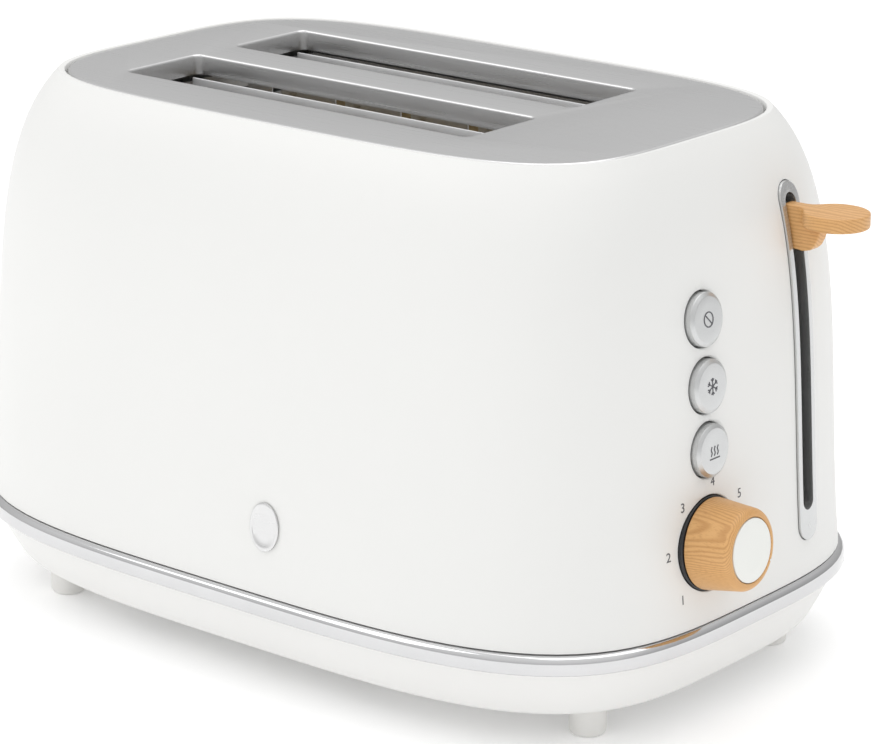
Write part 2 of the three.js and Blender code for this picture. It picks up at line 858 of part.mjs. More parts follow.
// A bread guide: a punched sheet whose tabs run in the end plates
function breadGuide(centre, side) {
  const y = centre + side * guideOffset;
  const low = floorTop + 18;
  const top = plateTop - guideTopDrop;
  const through = (x0, x1, z0, z1) => slab(x0, x1, y - guideSheet, y + guideSheet, z0, z1);
  const windows = [-2, -1, 0, 1, 2].flatMap((i) => {
    const x = slotX + i * guideNotchPitch;
    return [through(x - 2.2, x + 2.2, top - 9, top - 3), through(x - 12, x + 12, low + 6, top - 14)];
  });
  const sheet = cut(
    slab(slotStart + 2, slotEnd - 2, y - guideSheet / 2, y + guideSheet / 2, low, top),
    ...windows,
  );
  const y0 = y - guideSheet / 2;
  const y1 = y + guideSheet / 2;
  const tabs = guideTabHeights.flatMap((z) => [
    slab(rearPlateX - 3, slotStart + 3, y0, y1, z, z + guideTab),
    slab(slotEnd - 3, frontPlateX + endPlateSheet + 3, y0, y1, z, z + guideTab),
  ]);
  return join(sheet, ...tabs);
}

const boardLow = floorTop + 17;
const boardTop = plateTop - plateSheet - flangeDepth - 8;
// Distance of each heater board from the middle of the toaster, and which way its ribbon faces
const boards = [
  ["near_outer", -(slotPitch + slotWidth) / 2 - boardClearOfSlot, 1],
  ["near_centre", -(slotPitch - slotWidth) / 2 + boardClearOfSlot, -1],
  ["far_centre", (slotPitch - slotWidth) / 2 - boardClearOfSlot, 1],
  ["far_outer", (slotPitch + slotWidth) / 2 + boardClearOfSlot, -1],
];

function heaterBoard(y) {
  return block(slotStart + 4, slotEnd - 4, y - boardSheet / 2, y + boardSheet / 2, boardLow, boardTop);
}

// Resistance ribbon: one strip to and fro across the board
function heaterRibbon(y, side) {
  const left = slotStart + 9;
  const right = slotEnd - 9;
  const strip = 1.6;
  const step = (boardTop - boardLow - 12) / (ribbonRows - 1);
  const face = y + side * (boardSheet / 2 + gap);
  const y0 = Math.min(face, face + side * ribbonSheet);
  const y1 = y0 + ribbonSheet;
  const rows = Array.from({ length: ribbonRows }, (_, row) => {
    const z = boardLow + 6 + row * step;
    const run = slab(left, right, y0, y1, z - strip / 2, z + strip / 2);
    if (row === ribbonRows - 1) return run;
    const end = row % 2 ? left : right - strip;
    return join(run, slab(end, end + strip, y0, y1, z, z + step));
  });
  return join(...rows);
}

// ---------------------------------------------------------------- magnet, boards and switches

const keeperLow = keeperShelf - gap - keeperSheet;
const magnetX = keeperX + leverTravel * Math.tan(leverLean);
const magnetTop = keeperLow - leverTravel - running;
const magnetBase = floorTop + 2.5;

function keeper() {
  return block(keeperX - 6, keeperX + 7, magnetY - 7, magnetY + 7, keeperLow, keeperLow + keeperSheet);
}

// An E-shaped core with its legs up
function magnetCore() {
  const whole = slab(magnetX - 4, magnetX + 4, magnetY - 9, magnetY + 9, magnetBase + 1.5 + gap, magnetTop);
  const windows = [-1, 1].map((side) => {
    const y = magnetY + side * 4.9;
    return slab(magnetX - 5, magnetX + 5, y - 1.9, y + 1.9, magnetBase + 5.5, magnetTop + 1);
  });
  return cut(whole, ...windows);
}

function magnetCoil() {
  const z0 = magnetBase + 6;
  const z1 = magnetTop - 1.5;
  const outside = slab(magnetX - 7.5, magnetX + 7.5, magnetY - 6.4, magnetY + 6.4, z0, z1);
  return cut(outside, slab(magnetX - 4.3, magnetX + 4.3, magnetY - 3.3, magnetY + 3.3, z0 - 1, z1 + 1));
}

function magnetBracket() {
  const x = frontPlateX + endPlateSheet + gap;
  const y0 = magnetY - 11;
  const y1 = magnetY + 11;
  const base = slab(x, magnetX + 10, y0, y1, magnetBase, magnetBase + 1.5);
  return join(base, slab(x, x + 1.5, y0, y1, magnetBase, magnetTop - 4));
}

const topSwitch = buttonPlaces[0].position;
const controlBoardX = topSwitch.x - switchDistance - switchDepth - 4.5;
const circuitSheet = 1.6;
const powerBoardY = -37;
const powerBoardHalfWidth = 19;
const powerBoardLow = floorTop + 5;
const terminalX = frontPlateX + 26;
const terminalPitch = 9;

function controlBoard() {
  const x = controlBoardX - circuitSheet;
  return block(x, controlBoardX, controlsY - 20, controlsY + 16, floorTop + 16, topSwitch.z + 10);
}

function powerBoard() {
  const y0 = powerBoardY - powerBoardHalfWidth;
  const y1 = powerBoardY + powerBoardHalfWidth;
  const end = casingLength / 2 - 34;
  return block(frontPlateX + 12, end, y0, y1, powerBoardLow, powerBoardLow + circuitSheet);
}

function terminalBlock() {
  const low = powerBoardLow + circuitSheet + gap + 0.1;
  const body = slab(terminalX - 7, terminalX + 7, powerBoardY - 15, powerBoardY + 15, low, low + 9);
  const wells = [-1, 0, 1].map((i) => {
    const well = post(2, low + 4, low + 10, 10);
    return solid(well.translate(terminalX, powerBoardY + i * terminalPitch, 0));
  });
  return cut(body, ...wells);
}

// ---------------------------------------------------------------- buttons and knob, on the face

function button() {
  const seat = -wall - 1;
  return turned([
    [0, -switchDistance - 1.5],
    [plungerRadius, -switchDistance - 1.5],
    [plungerRadius, seat - 1.4],
    [buttonRadius + 1.2, seat - 1.4],
    [buttonRadius + 1.2, seat],
    [buttonRadius, seat],
    [buttonRadius, buttonProud - 1],
    [buttonRadius - 0.9, buttonProud],
    [0, buttonProud],
  ]);
}

function pushSwitch() {
  const half = switchSide / 2;
  const back = -switchDistance - switchDepth;
  const body = slab(-half, half, -half, half, back, -switchDistance);
  const wellFoot = -switchDistance - 1.5 - buttonTravel - running;
  return cut(body, solid(post(plungerRadius + running, wellFoot, -switchDistance + 1)));
}

const shaftEnd = 10;

function bezel() {
  return turned([
    [shaftRadius + running, -wall - 1],
    [bezelRadius, -wall - 1],
    [bezelRadius, 0.2],
    [bezelRadius - 0.5, 0.6],
    [knobBaseRadius - 2, 0.6],
    [knobBaseRadius - 2, 0.1],
    [shaftRadius + running, 0.1],
    [shaftRadius + running, -wall - 1],
  ], 36);
}

function knob() {
  const base = 0.6 + running;
  const body = turned([
    [0, shaftEnd + gap],
    [shaftRadius + gap, shaftEnd + gap],
    [shaftRadius + gap, base],
    [knobBaseRadius, base],
    [knobNoseRadius, knobLength - knobEdge],
    [knobNoseRadius - 0.8, knobLength - 0.7],
    [knobNoseRadius - knobEdge, knobLength],
    [capRadius + gap, knobLength],
    [capRadius + gap, knobLength - capThick],
    [0, knobLength - capThick],
  ], 36);
  // Seen from the front, the notch stands pointerAngle clockwise from the top.
  const notch = new THREE.BoxGeometry(1.2, 1.6, 4).translate(0, knobNoseRadius - 0.9, knobLength - 0.6);
  return cut(solid(body), solid(notch.rotateZ(Math.PI - THREE.MathUtils.degToRad(pointerAngle))));
}

const knobCap = () => post(capRadius, knobLength - capThick + gap, knobLength + 0.25, 36);
const knobShaft = () => post(shaftRadius, -browningDistance - 4, shaftEnd, 16);

function browningSwitch() {
  const half = browningSide / 2;
  const body = slab(-half, half, -half, half, -browningDistance - browningDepth, -browningDistance);
  const wellFoot = -browningDistance - 4 - running;
  return cut(body, solid(post(shaftRadius + running, wellFoot, -browningDistance + 1, 16)));
}

// ---------------------------------------------------------------- the toaster

piece("outer_shell", "casing", casingShell());
piece("top_plate", "steel", topPlate());
piece("trim_band", "chrome", trimBand());
piece("badge", "steel", badge());
piece("base_skirt", "white", baseSkirt());
feet.forEach(([name, x, y]) => piece(name, "rubber", foot()).position.set(x, y, 0));
postPlaces.forEach(([x, side], i) => {
  piece(`base_screw_${i + 1}`, "zinc", baseScrew()).position.set(x, postY(side), 0);
});
piece("cord_gland", "black", cordGland()).position.set(glandX, glandY, 0);
piece("crumb_tray", "zinc", crumbTray());
piece("tray_handle", "white", trayHandle());

piece("lever_trim", "silver", leverTrim());
piece("lever_handle", "wood", leverHandle());
piece("lever_arm", "zinc", leverArm());
piece("carriage_plate", "zinc", carriagePlate());
piece("near_lifter", "zinc", lifter(slotCentres[0]));
piece("far_lifter", "zinc", lifter(slotCentres[1]));
piece("keeper", "zinc", keeper());
toaster.add(rodPlace);
piece("guide_rod", "steel", post(rodRadius, rodFoot, rodHead, 14), rodPlace);
piece("return_spring", "steel", returnSpring(), rodPlace);
const brackets = rodBrackets();
piece("rod_upper_bracket", "zinc", brackets.upper);
piece("rod_lower_bracket", "zinc", brackets.lower);

piece("front_end_plate", "zinc", endPlate(frontPlateX));
piece("rear_end_plate", "zinc", endPlate(rearPlateX));
piece("near_reflector", "zinc", reflector(-1));
piece("far_reflector", "zinc", reflector(1));
slotCentres.forEach((centre, i) =>
  sides.forEach((side) => {
    const place = centre * side > 0 ? "outer" : "inner";
    piece(`${["near", "far"][i]}_${place}_guide`, "zinc", breadGuide(centre, side));
  }),
);
boards.forEach(([name, y, side]) => {
  piece(`${name}_heater_board`, "mica", heaterBoard(y));
  piece(`${name}_heater_ribbon`, "ribbon", heaterRibbon(y, side));
});

piece("magnet_core", "zinc", magnetCore());
piece("magnet_coil", "copper", magnetCoil());
piece("magnet_bracket", "zinc", magnetBracket());
piece("control_board", "board", controlBoard());
piece("power_board", "board", powerBoard());
piece("terminal_block", "white", terminalBlock());

buttonPlaces.forEach((place, i) => {
  toaster.add(place);
  piece(`${buttonNames[i]}_button`, "silver", button(), place);
  piece(`${buttonNames[i]}_switch`, "black", pushSwitch(), place);
});
toaster.add(knobPlace);
piece("knob_bezel", "black", bezel(), knobPlace);
piece("browning_knob", "wood", knob(), knobPlace);
piece("knob_cap", "white", knobCap(), knobPlace);
piece("knob_shaft", "zinc", knobShaft(), knobPlace);
piece("browning_switch", "black", browningSwitch(), knobPlace);

// The origin is under the middle of the whole toaster, the lever handle counted.
const whole = new THREE.Box3().setFromObject(toaster);
toaster.position.x = -(whole.min.x + whole.max.x) / 2;

export default toaster;
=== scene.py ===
import json
import math

import bmesh
import bpy
from mathutils import Matrix, Vector

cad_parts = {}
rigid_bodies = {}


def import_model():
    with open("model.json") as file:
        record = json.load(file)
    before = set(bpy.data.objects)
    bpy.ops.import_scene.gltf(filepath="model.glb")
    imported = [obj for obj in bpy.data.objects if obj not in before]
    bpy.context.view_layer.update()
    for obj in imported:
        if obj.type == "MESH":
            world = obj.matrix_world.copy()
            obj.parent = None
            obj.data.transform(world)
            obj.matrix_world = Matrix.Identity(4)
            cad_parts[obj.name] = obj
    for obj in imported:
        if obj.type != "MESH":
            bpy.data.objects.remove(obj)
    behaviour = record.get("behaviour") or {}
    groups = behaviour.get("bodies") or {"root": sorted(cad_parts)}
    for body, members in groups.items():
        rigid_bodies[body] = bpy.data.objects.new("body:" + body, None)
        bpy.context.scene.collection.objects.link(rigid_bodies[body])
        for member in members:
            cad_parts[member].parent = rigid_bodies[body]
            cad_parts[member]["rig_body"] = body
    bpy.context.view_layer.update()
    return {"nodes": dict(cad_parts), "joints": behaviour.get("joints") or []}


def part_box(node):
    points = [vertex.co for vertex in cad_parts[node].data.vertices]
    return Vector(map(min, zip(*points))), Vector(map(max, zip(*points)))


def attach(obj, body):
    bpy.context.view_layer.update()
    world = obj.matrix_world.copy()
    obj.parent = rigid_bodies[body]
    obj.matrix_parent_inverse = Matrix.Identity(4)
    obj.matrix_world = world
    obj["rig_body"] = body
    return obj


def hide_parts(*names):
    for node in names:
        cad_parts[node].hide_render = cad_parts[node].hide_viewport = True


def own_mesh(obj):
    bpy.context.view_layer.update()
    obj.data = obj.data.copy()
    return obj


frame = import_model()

MM = 0.001
MERGE = 0.002 * MM
TOUCH = 0.01 * MM
FULL_TURN = 2 * math.pi
QUARTER_TURN = math.pi / 2

# ---------------------------------------------------------------- sizes read from the frame

SHELL_LOW, SHELL_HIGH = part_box("outer_shell")
BAND_LOW, BAND_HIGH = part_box("trim_band")
SKIRT_LOW, SKIRT_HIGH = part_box("base_skirt")
PLATE_LOW, PLATE_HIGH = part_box("top_plate")
BADGE_LOW, BADGE_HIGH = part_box("badge")
LEVER_LOW, LEVER_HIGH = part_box("lever_handle")
TRIM_LOW, TRIM_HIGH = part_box("lever_trim")
TRAY_LOW, TRAY_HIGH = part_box("crumb_tray")
HANDLE_LOW, HANDLE_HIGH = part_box("tray_handle")
GLAND_LOW, GLAND_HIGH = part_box("cord_gland")

CENTRE = (SHELL_LOW.x + SHELL_HIGH.x) / 2
HALF_LENGTH = (SHELL_HIGH.x - SHELL_LOW.x) / 2
HALF_WIDTH = SHELL_HIGH.y
RIM = SHELL_HIGH.z
GAP = 0.3 * MM
CASING_FOOT = BAND_HIGH.z + GAP
PLATE_HALF_LENGTH = (PLATE_HIGH.x - PLATE_LOW.x) / 2
PLATE_HALF_WIDTH = PLATE_HIGH.y
PLATE_TOP = RIM - 0.15 * MM

# ---------------------------------------------------------------- driving sizes of the surfaces

END_TAPER = 26.3 * MM
SIDE_TAPER = 24.1 * MM
LOWER_ROUNDNESS = 3.62
UPPER_ROUNDNESS = 4.27
WALL = 2.4 * MM
CORNER_STEPS = 32
CASING_STEPS = 30
PLATE_SEAM = 0.8 * MM
PLATE_DEPTH = 3.4 * MM
PLATE_SHEET = 0.9 * MM
LEDGE_WIDTH = 4.5 * MM
LEDGE = PLATE_HIGH.z - PLATE_DEPTH - GAP
LEDGE_SHEET = 2 * MM

SLOT_LENGTH = 147 * MM
SLOT_WIDTH = 36 * MM
SLOT_PITCH = 54 * MM
SLOT_CORNER = 3 * MM
REAR_BAY = 57 * MM
SLOT_X = CENTRE - HALF_LENGTH + REAR_BAY + SLOT_LENGTH / 2
FLANGE_DEPTH = 6 * MM

SKIRT_END_TAPER = 8.2 * MM
SKIRT_SIDE_TAPER = 10.1 * MM
SKIRT_INSET = 0.4 * MM
SKIRT_ROUND = 3 * MM
SKIRT_SEAT = SKIRT_LOW.z - GAP
VENT_COUNT = 7
VENT_PITCH = 16 * MM
VENT_WIDTH = 4 * MM
VENT_LENGTH = 14 * MM
VENT_Y = 63 * MM

LEVER_Y = (TRIM_LOW.y + TRIM_HIGH.y) / 2
LEVER_SLOT = 6.5 * MM
BUTTON_DROPS = {"cancel": 50.2 * MM, "defrost": 71.1 * MM, "reheat": 91.6 * MM}
BUTTON_RADIUS = 8.5 * MM
BUTTON_PROUD = 2.7 * MM
CONTROLS_Y = -21 * MM
KNOB_Y = CONTROLS_Y - 1 * MM
KNOB_DROP = 121.3 * MM
KNOB_LENGTH = 16.2 * MM
KNOB_BASE = 14.6 * MM
KNOB_NOSE = 13.2 * MM
CAP_RADIUS = 10.2 * MM
BEZEL_RADIUS = 15 * MM
KNOB_RECESS = KNOB_LENGTH - 1.2 * MM
POINTER_ANGLE = math.radians(120)
INK_WIDTH = 0.34 * MM
INK_HEIGHT = 0.08 * MM


# ---------------------------------------------------------------- modelling by hand, in small steps

def start(name, primitive, **place):
    """Adds a primitive with nothing else selected, and opens it for editing with all of it selected."""
    bpy.ops.object.select_all(action="DESELECT")
    primitive(**place)
    piece = bpy.context.object
    piece.name = name
    piece.data.name = name
    bpy.ops.object.transform_apply(location=True, rotation=True, scale=True)
    bpy.ops.object.mode_set(mode="EDIT")
    bpy.ops.mesh.select_mode(type="VERT")
    bpy.ops.mesh.select_all(action="SELECT")
    return piece


def edit(piece):
    bpy.ops.object.select_all(action="DESELECT")
    bpy.context.view_layer.objects.active = piece
    piece.select_set(True)
    bpy.ops.object.mode_set(mode="EDIT")


def close(piece):
    """Leaves edit mode with only this piece selected."""
    bpy.ops.object.mode_set(mode="OBJECT")
    bpy.ops.object.select_all(action="DESELECT")
    bpy.context.view_layer.objects.active = piece
    piece.select_set(True)
    return piece


def pick(kind, test):
    """Selects the vertices, edges or faces being edited that pass the test, and nothing else."""
    bpy.ops.mesh.select_mode(type=kind)
    bpy.ops.mesh.select_all(action="DESELECT")
    mesh = bmesh.from_edit_mesh(bpy.context.object.data)
    for item in {"VERT": mesh.verts, "EDGE": mesh.edges, "FACE": mesh.faces}[kind]:
        if test(item):
            item.select_set(True)
    mesh.select_flush_mode()
    bmesh.update_edit_mesh(bpy.context.object.data)


def middle(edge):
    return (edge.verts[0].co + edge.verts[1].co) / 2


def runs_along(axis, least=1 * MM):
    """A test for edges that run along an axis (0, 1 or 2) by more than a length."""
    return lambda edge: abs(edge.verts[0].co[axis] - edge.verts[1].co[axis]) > least


def face_outwards():
    bpy.ops.mesh.select_all(action="SELECT")
    bpy.ops.mesh.normals_make_consistent(inside=False)


def slice_along(planes, **settings):
    """Cuts all that is being edited along planes, each a (point, normal)."""
    for point, normal in planes:
        bpy.ops.mesh.select_all(action="SELECT")
        bpy.ops.mesh.bisect(plane_co=point, plane_no=normal, **settings)


def modify(piece, kind, **settings):
    modifier = piece.modifiers.new(kind.title(), kind)
    for name, value in settings.items():
        setattr(modifier, name, value)
    bpy.context.view_layer.objects.active = piece
    bpy.ops.object.modifier_apply(modifier=modifier.name)


def combine(piece, operation, *tools):
    """Cuts tools out of a piece, or joins them to it, and clears the tools away."""
    for tool in tools:
        modify(piece, "BOOLEAN", operation=operation, solver="EXACT", object=tool)
        bpy.data.objects.remove(tool)


def put(piece, place):
    """Sets a piece made at the origin in its place, and leaves that place in its mesh."""
    close(piece)
    piece.matrix_world = place
    bpy.ops.object.transform_apply(location=True, rotation=True, scale=True)
    return piece


def clean(piece):
    edit(piece)
    bpy.ops.mesh.select_all(action="SELECT")
    bpy.ops.mesh.remove_doubles(threshold=MERGE)
    face_outwards()
    return close(piece)


def finish(piece, material, slot, body, *nodes, sharp=30):
    """Shades a piece, gives it its finish, and hands it to its body in place of the frame's nodes."""
    close(piece)
    bpy.ops.object.shade_smooth_by_angle(angle=math.radians(sharp))
    piece.data.materials.clear()
    piece.data.materials.append(material)
    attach(piece, body)
    if nodes:
        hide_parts(*nodes)
    return piece


def round_corners(roundness):
    """Rounds the corners of the selected rectangle until they meet, which makes it a superellipse."""
    profile = 2 ** (-2 / roundness)
    bpy.ops.mesh.bevel(
        affect="VERTICES", offset_type="PERCENT", offset_pct=50, segments=CORNER_STEPS, profile=profile
    )
    bpy.ops.mesh.select_linked()
    bpy.ops.mesh.remove_doubles(threshold=MERGE)
    bpy.ops.mesh.delete(type="ONLY_FACE")


def loft(name, levels):
    """A skin through superellipse outlines, each (half length, half width, roundness, height)."""
    piece = None
    for half_x, half_y, roundness, z in levels:
        centre = (CENTRE, 0, z)
        if piece:
            bpy.ops.mesh.primitive_plane_add(size=2, location=centre)
        else:
            piece = start(name, bpy.ops.mesh.primitive_plane_add, size=2, location=centre)
        bpy.ops.transform.resize(value=(half_x, half_y, 1), center_override=centre)
        round_corners(roundness)
    if len(levels) > 1:
        bpy.ops.mesh.select_mode(type="EDGE")
        bpy.ops.mesh.select_all(action="SELECT")
        bpy.ops.mesh.bridge_edge_loops()
    return piece


def carry_outline(steps):
    """Extrudes the selected outline through (half length, half width, height) steps.

    The first step is where the outline is.
    """
    bpy.ops.mesh.select_mode(type="EDGE")
    for old, new in zip(steps, steps[1:]):
        bpy.ops.mesh.extrude_edges_move(TRANSFORM_OT_translate={"value": (0, 0, new[2] - old[2])})
        scale = (new[0] / old[0], new[1] / old[1], 1)
        bpy.ops.transform.resize(value=scale, center_override=(CENTRE, 0, new[2]))


def chain(name, points):
    """A line of vertices: one vertex, extruded from point to point."""
    piece = start(name, bpy.ops.mesh.primitive_plane_add, size=1 * MM)
    bpy.ops.mesh.merge(type="CENTER")
    bpy.ops.transform.translate(value=points[0])
    for old, new in zip(points, points[1:]):
        step = Vector(new) - Vector(old)
        bpy.ops.mesh.extrude_vertices_move(TRANSFORM_OT_translate={"value": step})
    return piece


def turned(name, profile, place=None, steps=96):
    """A turned piece: a profile of (radius, height) points spun about +Z, then set in its place."""
    piece = chain(name, [(r, 0, z) for r, z in profile])
    bpy.ops.mesh.select_all(action="SELECT")
    bpy.ops.mesh.spin(steps=steps, angle=FULL_TURN, center=(0, 0, 0), axis=(0, 0, 1))
    bpy.ops.mesh.select_all(action="SELECT")
    bpy.ops.mesh.remove_doubles(threshold=MERGE)
    face_outwards()
    return put(piece, place or Matrix())


def arc(centre, radius, start_angle, end_angle, steps):
    """Points of a rounded corner in a profile, angles in degrees."""
    points = []
    for i in range(steps + 1):
        angle = math.radians(start_angle + (end_angle - start_angle) * i / steps)
        points.append((centre[0] + radius * math.cos(angle), centre[1] + radius * math.sin(angle)))
    return points


def block(name, centre, size):
    """A box, left open for editing."""
    piece = start(name, bpy.ops.mesh.primitive_cube_add, size=1, location=centre)
    bpy.ops.transform.resize(value=size, center_override=centre)
    return piece


def box_tool(name, low, high):
    centre = (Vector(low) + Vector(high)) / 2
    return close(block(name, centre, Vector(high) - Vector(low)))


def stadium(name, width, low, high, x0, x1, y):
    """A bar with round ends, upright, running from x0 to x1."""
    piece = block(name, ((x0 + x1) / 2, y, (low + high) / 2), (x1 - x0, width, high - low))
    pick("EDGE", runs_along(0))
    bpy.ops.mesh.bevel(offset=width / 2 * 0.9999, segments=20, affect="EDGES")
    return close(piece)


def prism(name, outline, thickness):
    """A closed outline of points, given a thickness from where it lies."""
    piece = chain(name, outline)
    bpy.ops.mesh.select_all(action="SELECT")
    bpy.ops.mesh.edge_face_add()
    bpy.ops.mesh.extrude_region_move(TRANSFORM_OT_translate={"value": thickness})
    face_outwards()
    return close(piece)


def join(name, parts):
    close(parts[0])
    for part in parts:
        part.select_set(True)
    bpy.ops.object.join()
    parts[0].name = name
    return parts[0]


# ---------------------------------------------------------------- the casing's surface

# The curve of the sides, as (share of the lean, share of the height), and a small step along it.
LEAN_CURVE = [(0, 0), (0.27, 0.4), (0.1, 0.82), (1, 1)]
STEP = 0.001


def lean_point(turn):
    """How far the casing has leant in, and by what share of its height, at a turn from 0 to 1."""
    weights = [(1 - turn) ** 3, 3 * turn * (1 - turn) ** 2, 3 * turn ** 2 * (1 - turn), turn ** 3]
    return [sum(w * end[axis] for w, end in zip(weights, LEAN_CURVE)) for axis in (0, 1)]


def casing_level(turn, offset=0):
    """The casing's outline at a turn from its foot to its rim, pushed out by offset."""
    inset, rise = lean_point(turn)
    before = lean_point(turn - STEP)
    after = lean_point(turn + STEP)
    up = (after[1] - before[1]) * (RIM - CASING_FOOT)
    end_slope = math.hypot(1, (after[0] - before[0]) * END_TAPER / up)
    side_slope = math.hypot(1, (after[0] - before[0]) * SIDE_TAPER / up)
    return (
        HALF_LENGTH - inset * END_TAPER + offset * end_slope,
        HALF_WIDTH - inset * SIDE_TAPER + offset * side_slope,
        LOWER_ROUNDNESS + (UPPER_ROUNDNESS - LOWER_ROUNDNESS) * rise,
        CASING_FOOT + (RIM - CASING_FOOT) * rise,
    )


def turn_at(z):
    """The turn at which the casing's side reaches a height."""
    low, high = 0, 1
    for _ in range(30):
        half = (low + high) / 2
        if casing_level(half)[3] < z:
            low = half
        else:
            high = half
    return low


def face_x(y, z):
    """x of the control end's face."""
    half_x, half_y, roundness, _ = casing_level(turn_at(z))
    return CENTRE + half_x * (1 - abs(y / half_y) ** roundness) ** (1 / roundness)


def side_y(x, z):
    """y of the far side's face; the near side's is its opposite."""
    half_x, half_y, roundness, _ = casing_level(turn_at(z))
    return half_y * (1 - abs((x - CENTRE) / half_x) ** roundness) ** (1 / roundness)


def on_face(y, z):
    """A place on the control end whose +Z stands out of the face and whose -X points up."""
    slope = (face_x(y, z - 1 * MM) - face_x(y, z + 1 * MM)) / (2 * MM)
    turn = Matrix.Rotation(QUARTER_TURN - math.atan(slope), 4, "Y")
    return Matrix.Translation((face_x(y, z), y, z)) @ turn


def on_near_side(x, z):
    """A place on the near side whose +Z stands out of it and whose +Y points up."""
    slope = (side_y(x, z - 1 * MM) - side_y(x, z + 1 * MM)) / (2 * MM)
    turn = Matrix.Rotation(QUARTER_TURN - math.atan(slope), 4, "X")
    return Matrix.Translation((x, -side_y(x, z), z)) @ turn


# ---------------------------------------------------------------- finishes

# The wave texture's scale that sets its bands one metre apart.
BAND = 0.314


def colour(code):
    """Linear colour of an sRGB hex value."""
    parts = [int(code[i:i + 2], 16) / 255 for i in (0, 2, 4)]
    return [p / 12.92 if p <= 0.04045 else ((p + 0.055) / 1.055) ** 2.4 for p in parts] + [1]


def add(tree, kind, inputs=(), **settings):
    """Adds a node: its settings, then its inputs, each a value or the socket that feeds it."""
    node = tree.nodes.new(kind)
    for name, value in settings.items():
        setattr(node, name, value)
    for name, value in dict(inputs).items():
        if isinstance(value, bpy.types.NodeSocket):
            tree.links.new(value, node.inputs[name])
        else:
            node.inputs[name].default_value = value
    return node


def new_finish(name, **shader_settings):
    """A material with its shader set, and the Object coordinates that its patterns start from."""
    material = bpy.data.materials.new(name)
    material.use_nodes = True
    tree = material.node_tree
    shader = tree.nodes["Principled BSDF"]
    for socket, value in shader_settings.items():
        shader.inputs[socket.replace("_", " ")].default_value = value
    place = add(tree, "ShaderNodeTexCoord").outputs["Object"]
    return material, tree, shader, place


def feed(tree, shader, **sockets):
    """Links sockets to the shader's inputs of those names."""
    for name, socket in sockets.items():
        tree.links.new(socket, shader.inputs[name.replace("_", " ")])


def matte_white_enamel():
    # Sprayed and stoved enamel on pressed steel: a soft sheen over a faint orange peel.
    material, tree, shader, place = new_finish("matte_white_enamel", IOR=1.5)
    drift = add(tree, "ShaderNodeTexNoise", {"Vector": place, "Scale": 1 / (90 * MM), "Detail": 2})
    tint = add(tree, "ShaderNodeMix", {
        0: drift.outputs[0], 6: colour("EBEBE9"), 7: colour("E8E8E6"),
    }, data_type="RGBA")
    sheen = add(tree, "ShaderNodeTexNoise", {"Vector": place, "Scale": 1 / (12 * MM), "Detail": 4})
    rough = add(tree, "ShaderNodeMapRange", {0: sheen.outputs[0], 3: 0.42, 4: 0.5})
    peel = add(tree, "ShaderNodeTexNoise", {"Vector": place, "Scale": 1 / (1.1 * MM), "Detail": 1})
    bump = add(tree, "ShaderNodeBump", {
        "Height": peel.outputs[0], "Strength": 0.12, "Distance": 0.05 * MM,
    })
    feed(tree, shader, Base_Color=tint.outputs[2], Roughness=rough.outputs[0], Normal=bump.outputs[0])
    return material


def brushed_stainless():
    # Stainless sheet brushed along its length: fine parallel lines that stretch the reflections.
    material, tree, shader, place = new_finish("brushed_stainless", Metallic=1)
    along = add(tree, "ShaderNodeMapping", {
        "Vector": place, "Scale": (1 / (45 * MM), 1 / (0.35 * MM), 1 / (0.35 * MM)),
    })
    lines = add(tree, "ShaderNodeTexNoise", {"Vector": along.outputs[0], "Scale": 1, "Detail": 3})
    drift = add(tree, "ShaderNodeTexNoise", {"Vector": place, "Scale": 1 / (70 * MM), "Detail": 2})
    rough = add(tree, "ShaderNodeMapRange", {0: lines.outputs[0], 3: 0.24, 4: 0.34})
    tint = add(tree, "ShaderNodeMix", {
        0: drift.outputs[0], 6: colour("D6D6D6"), 7: colour("DEDEDE"),
    }, data_type="RGBA")
    bump = add(tree, "ShaderNodeBump", {
        "Height": lines.outputs[0], "Strength": 0.25, "Distance": 0.02 * MM,
    })
    feed(tree, shader, Base_Color=tint.outputs[2], Roughness=rough.outputs[0], Normal=bump.outputs[0])
    return material


def polished_chrome():
    # Chrome plate: a near mirror, with the slight haze that handling leaves.
    material, tree, shader, place = new_finish("polished_chrome", Metallic=1)
    haze = add(tree, "ShaderNodeTexNoise", {"Vector": place, "Scale": 1 / (18 * MM), "Detail": 4})
    rough = add(tree, "ShaderNodeMapRange", {0: haze.outputs[0], 3: 0.06, 4: 0.14})
    tint = add(tree, "ShaderNodeMix", {
        0: haze.outputs[0], 6: colour("D6D6D7"), 7: colour("CDCDCE"),
    }, data_type="RGBA")
    feed(tree, shader, Base_Color=tint.outputs[2], Roughness=rough.outputs[0])
    return material


def moulded_white(name, light, dark, rough_low, rough_high):
    # White ABS from a fine spark-eroded mould: an even, slightly glossy skin.
    material, tree, shader, place = new_finish(name, IOR=1.53)
    drift = add(tree, "ShaderNodeTexNoise", {"Vector": place, "Scale": 1 / (60 * MM), "Detail": 2})
    tint = add(tree, "ShaderNodeMix", {
        0: drift.outputs[0], 6: colour(light), 7: colour(dark),
    }, data_type="RGBA")
    grit = add(tree, "ShaderNodeTexNoise", {"Vector": place, "Scale": 1 / (0.6 * MM), "Detail": 2})
    rough = add(tree, "ShaderNodeMapRange", {0: grit.outputs[0], 3: rough_low, 4: rough_high})
    bump = add(tree, "ShaderNodeBump", {
        "Height": grit.outputs[0], "Strength": 0.15, "Distance": 0.02 * MM,
    })
    feed(tree, shader, Base_Color=tint.outputs[2], Roughness=rough.outputs[0], Normal=bump.outputs[0])
    return material


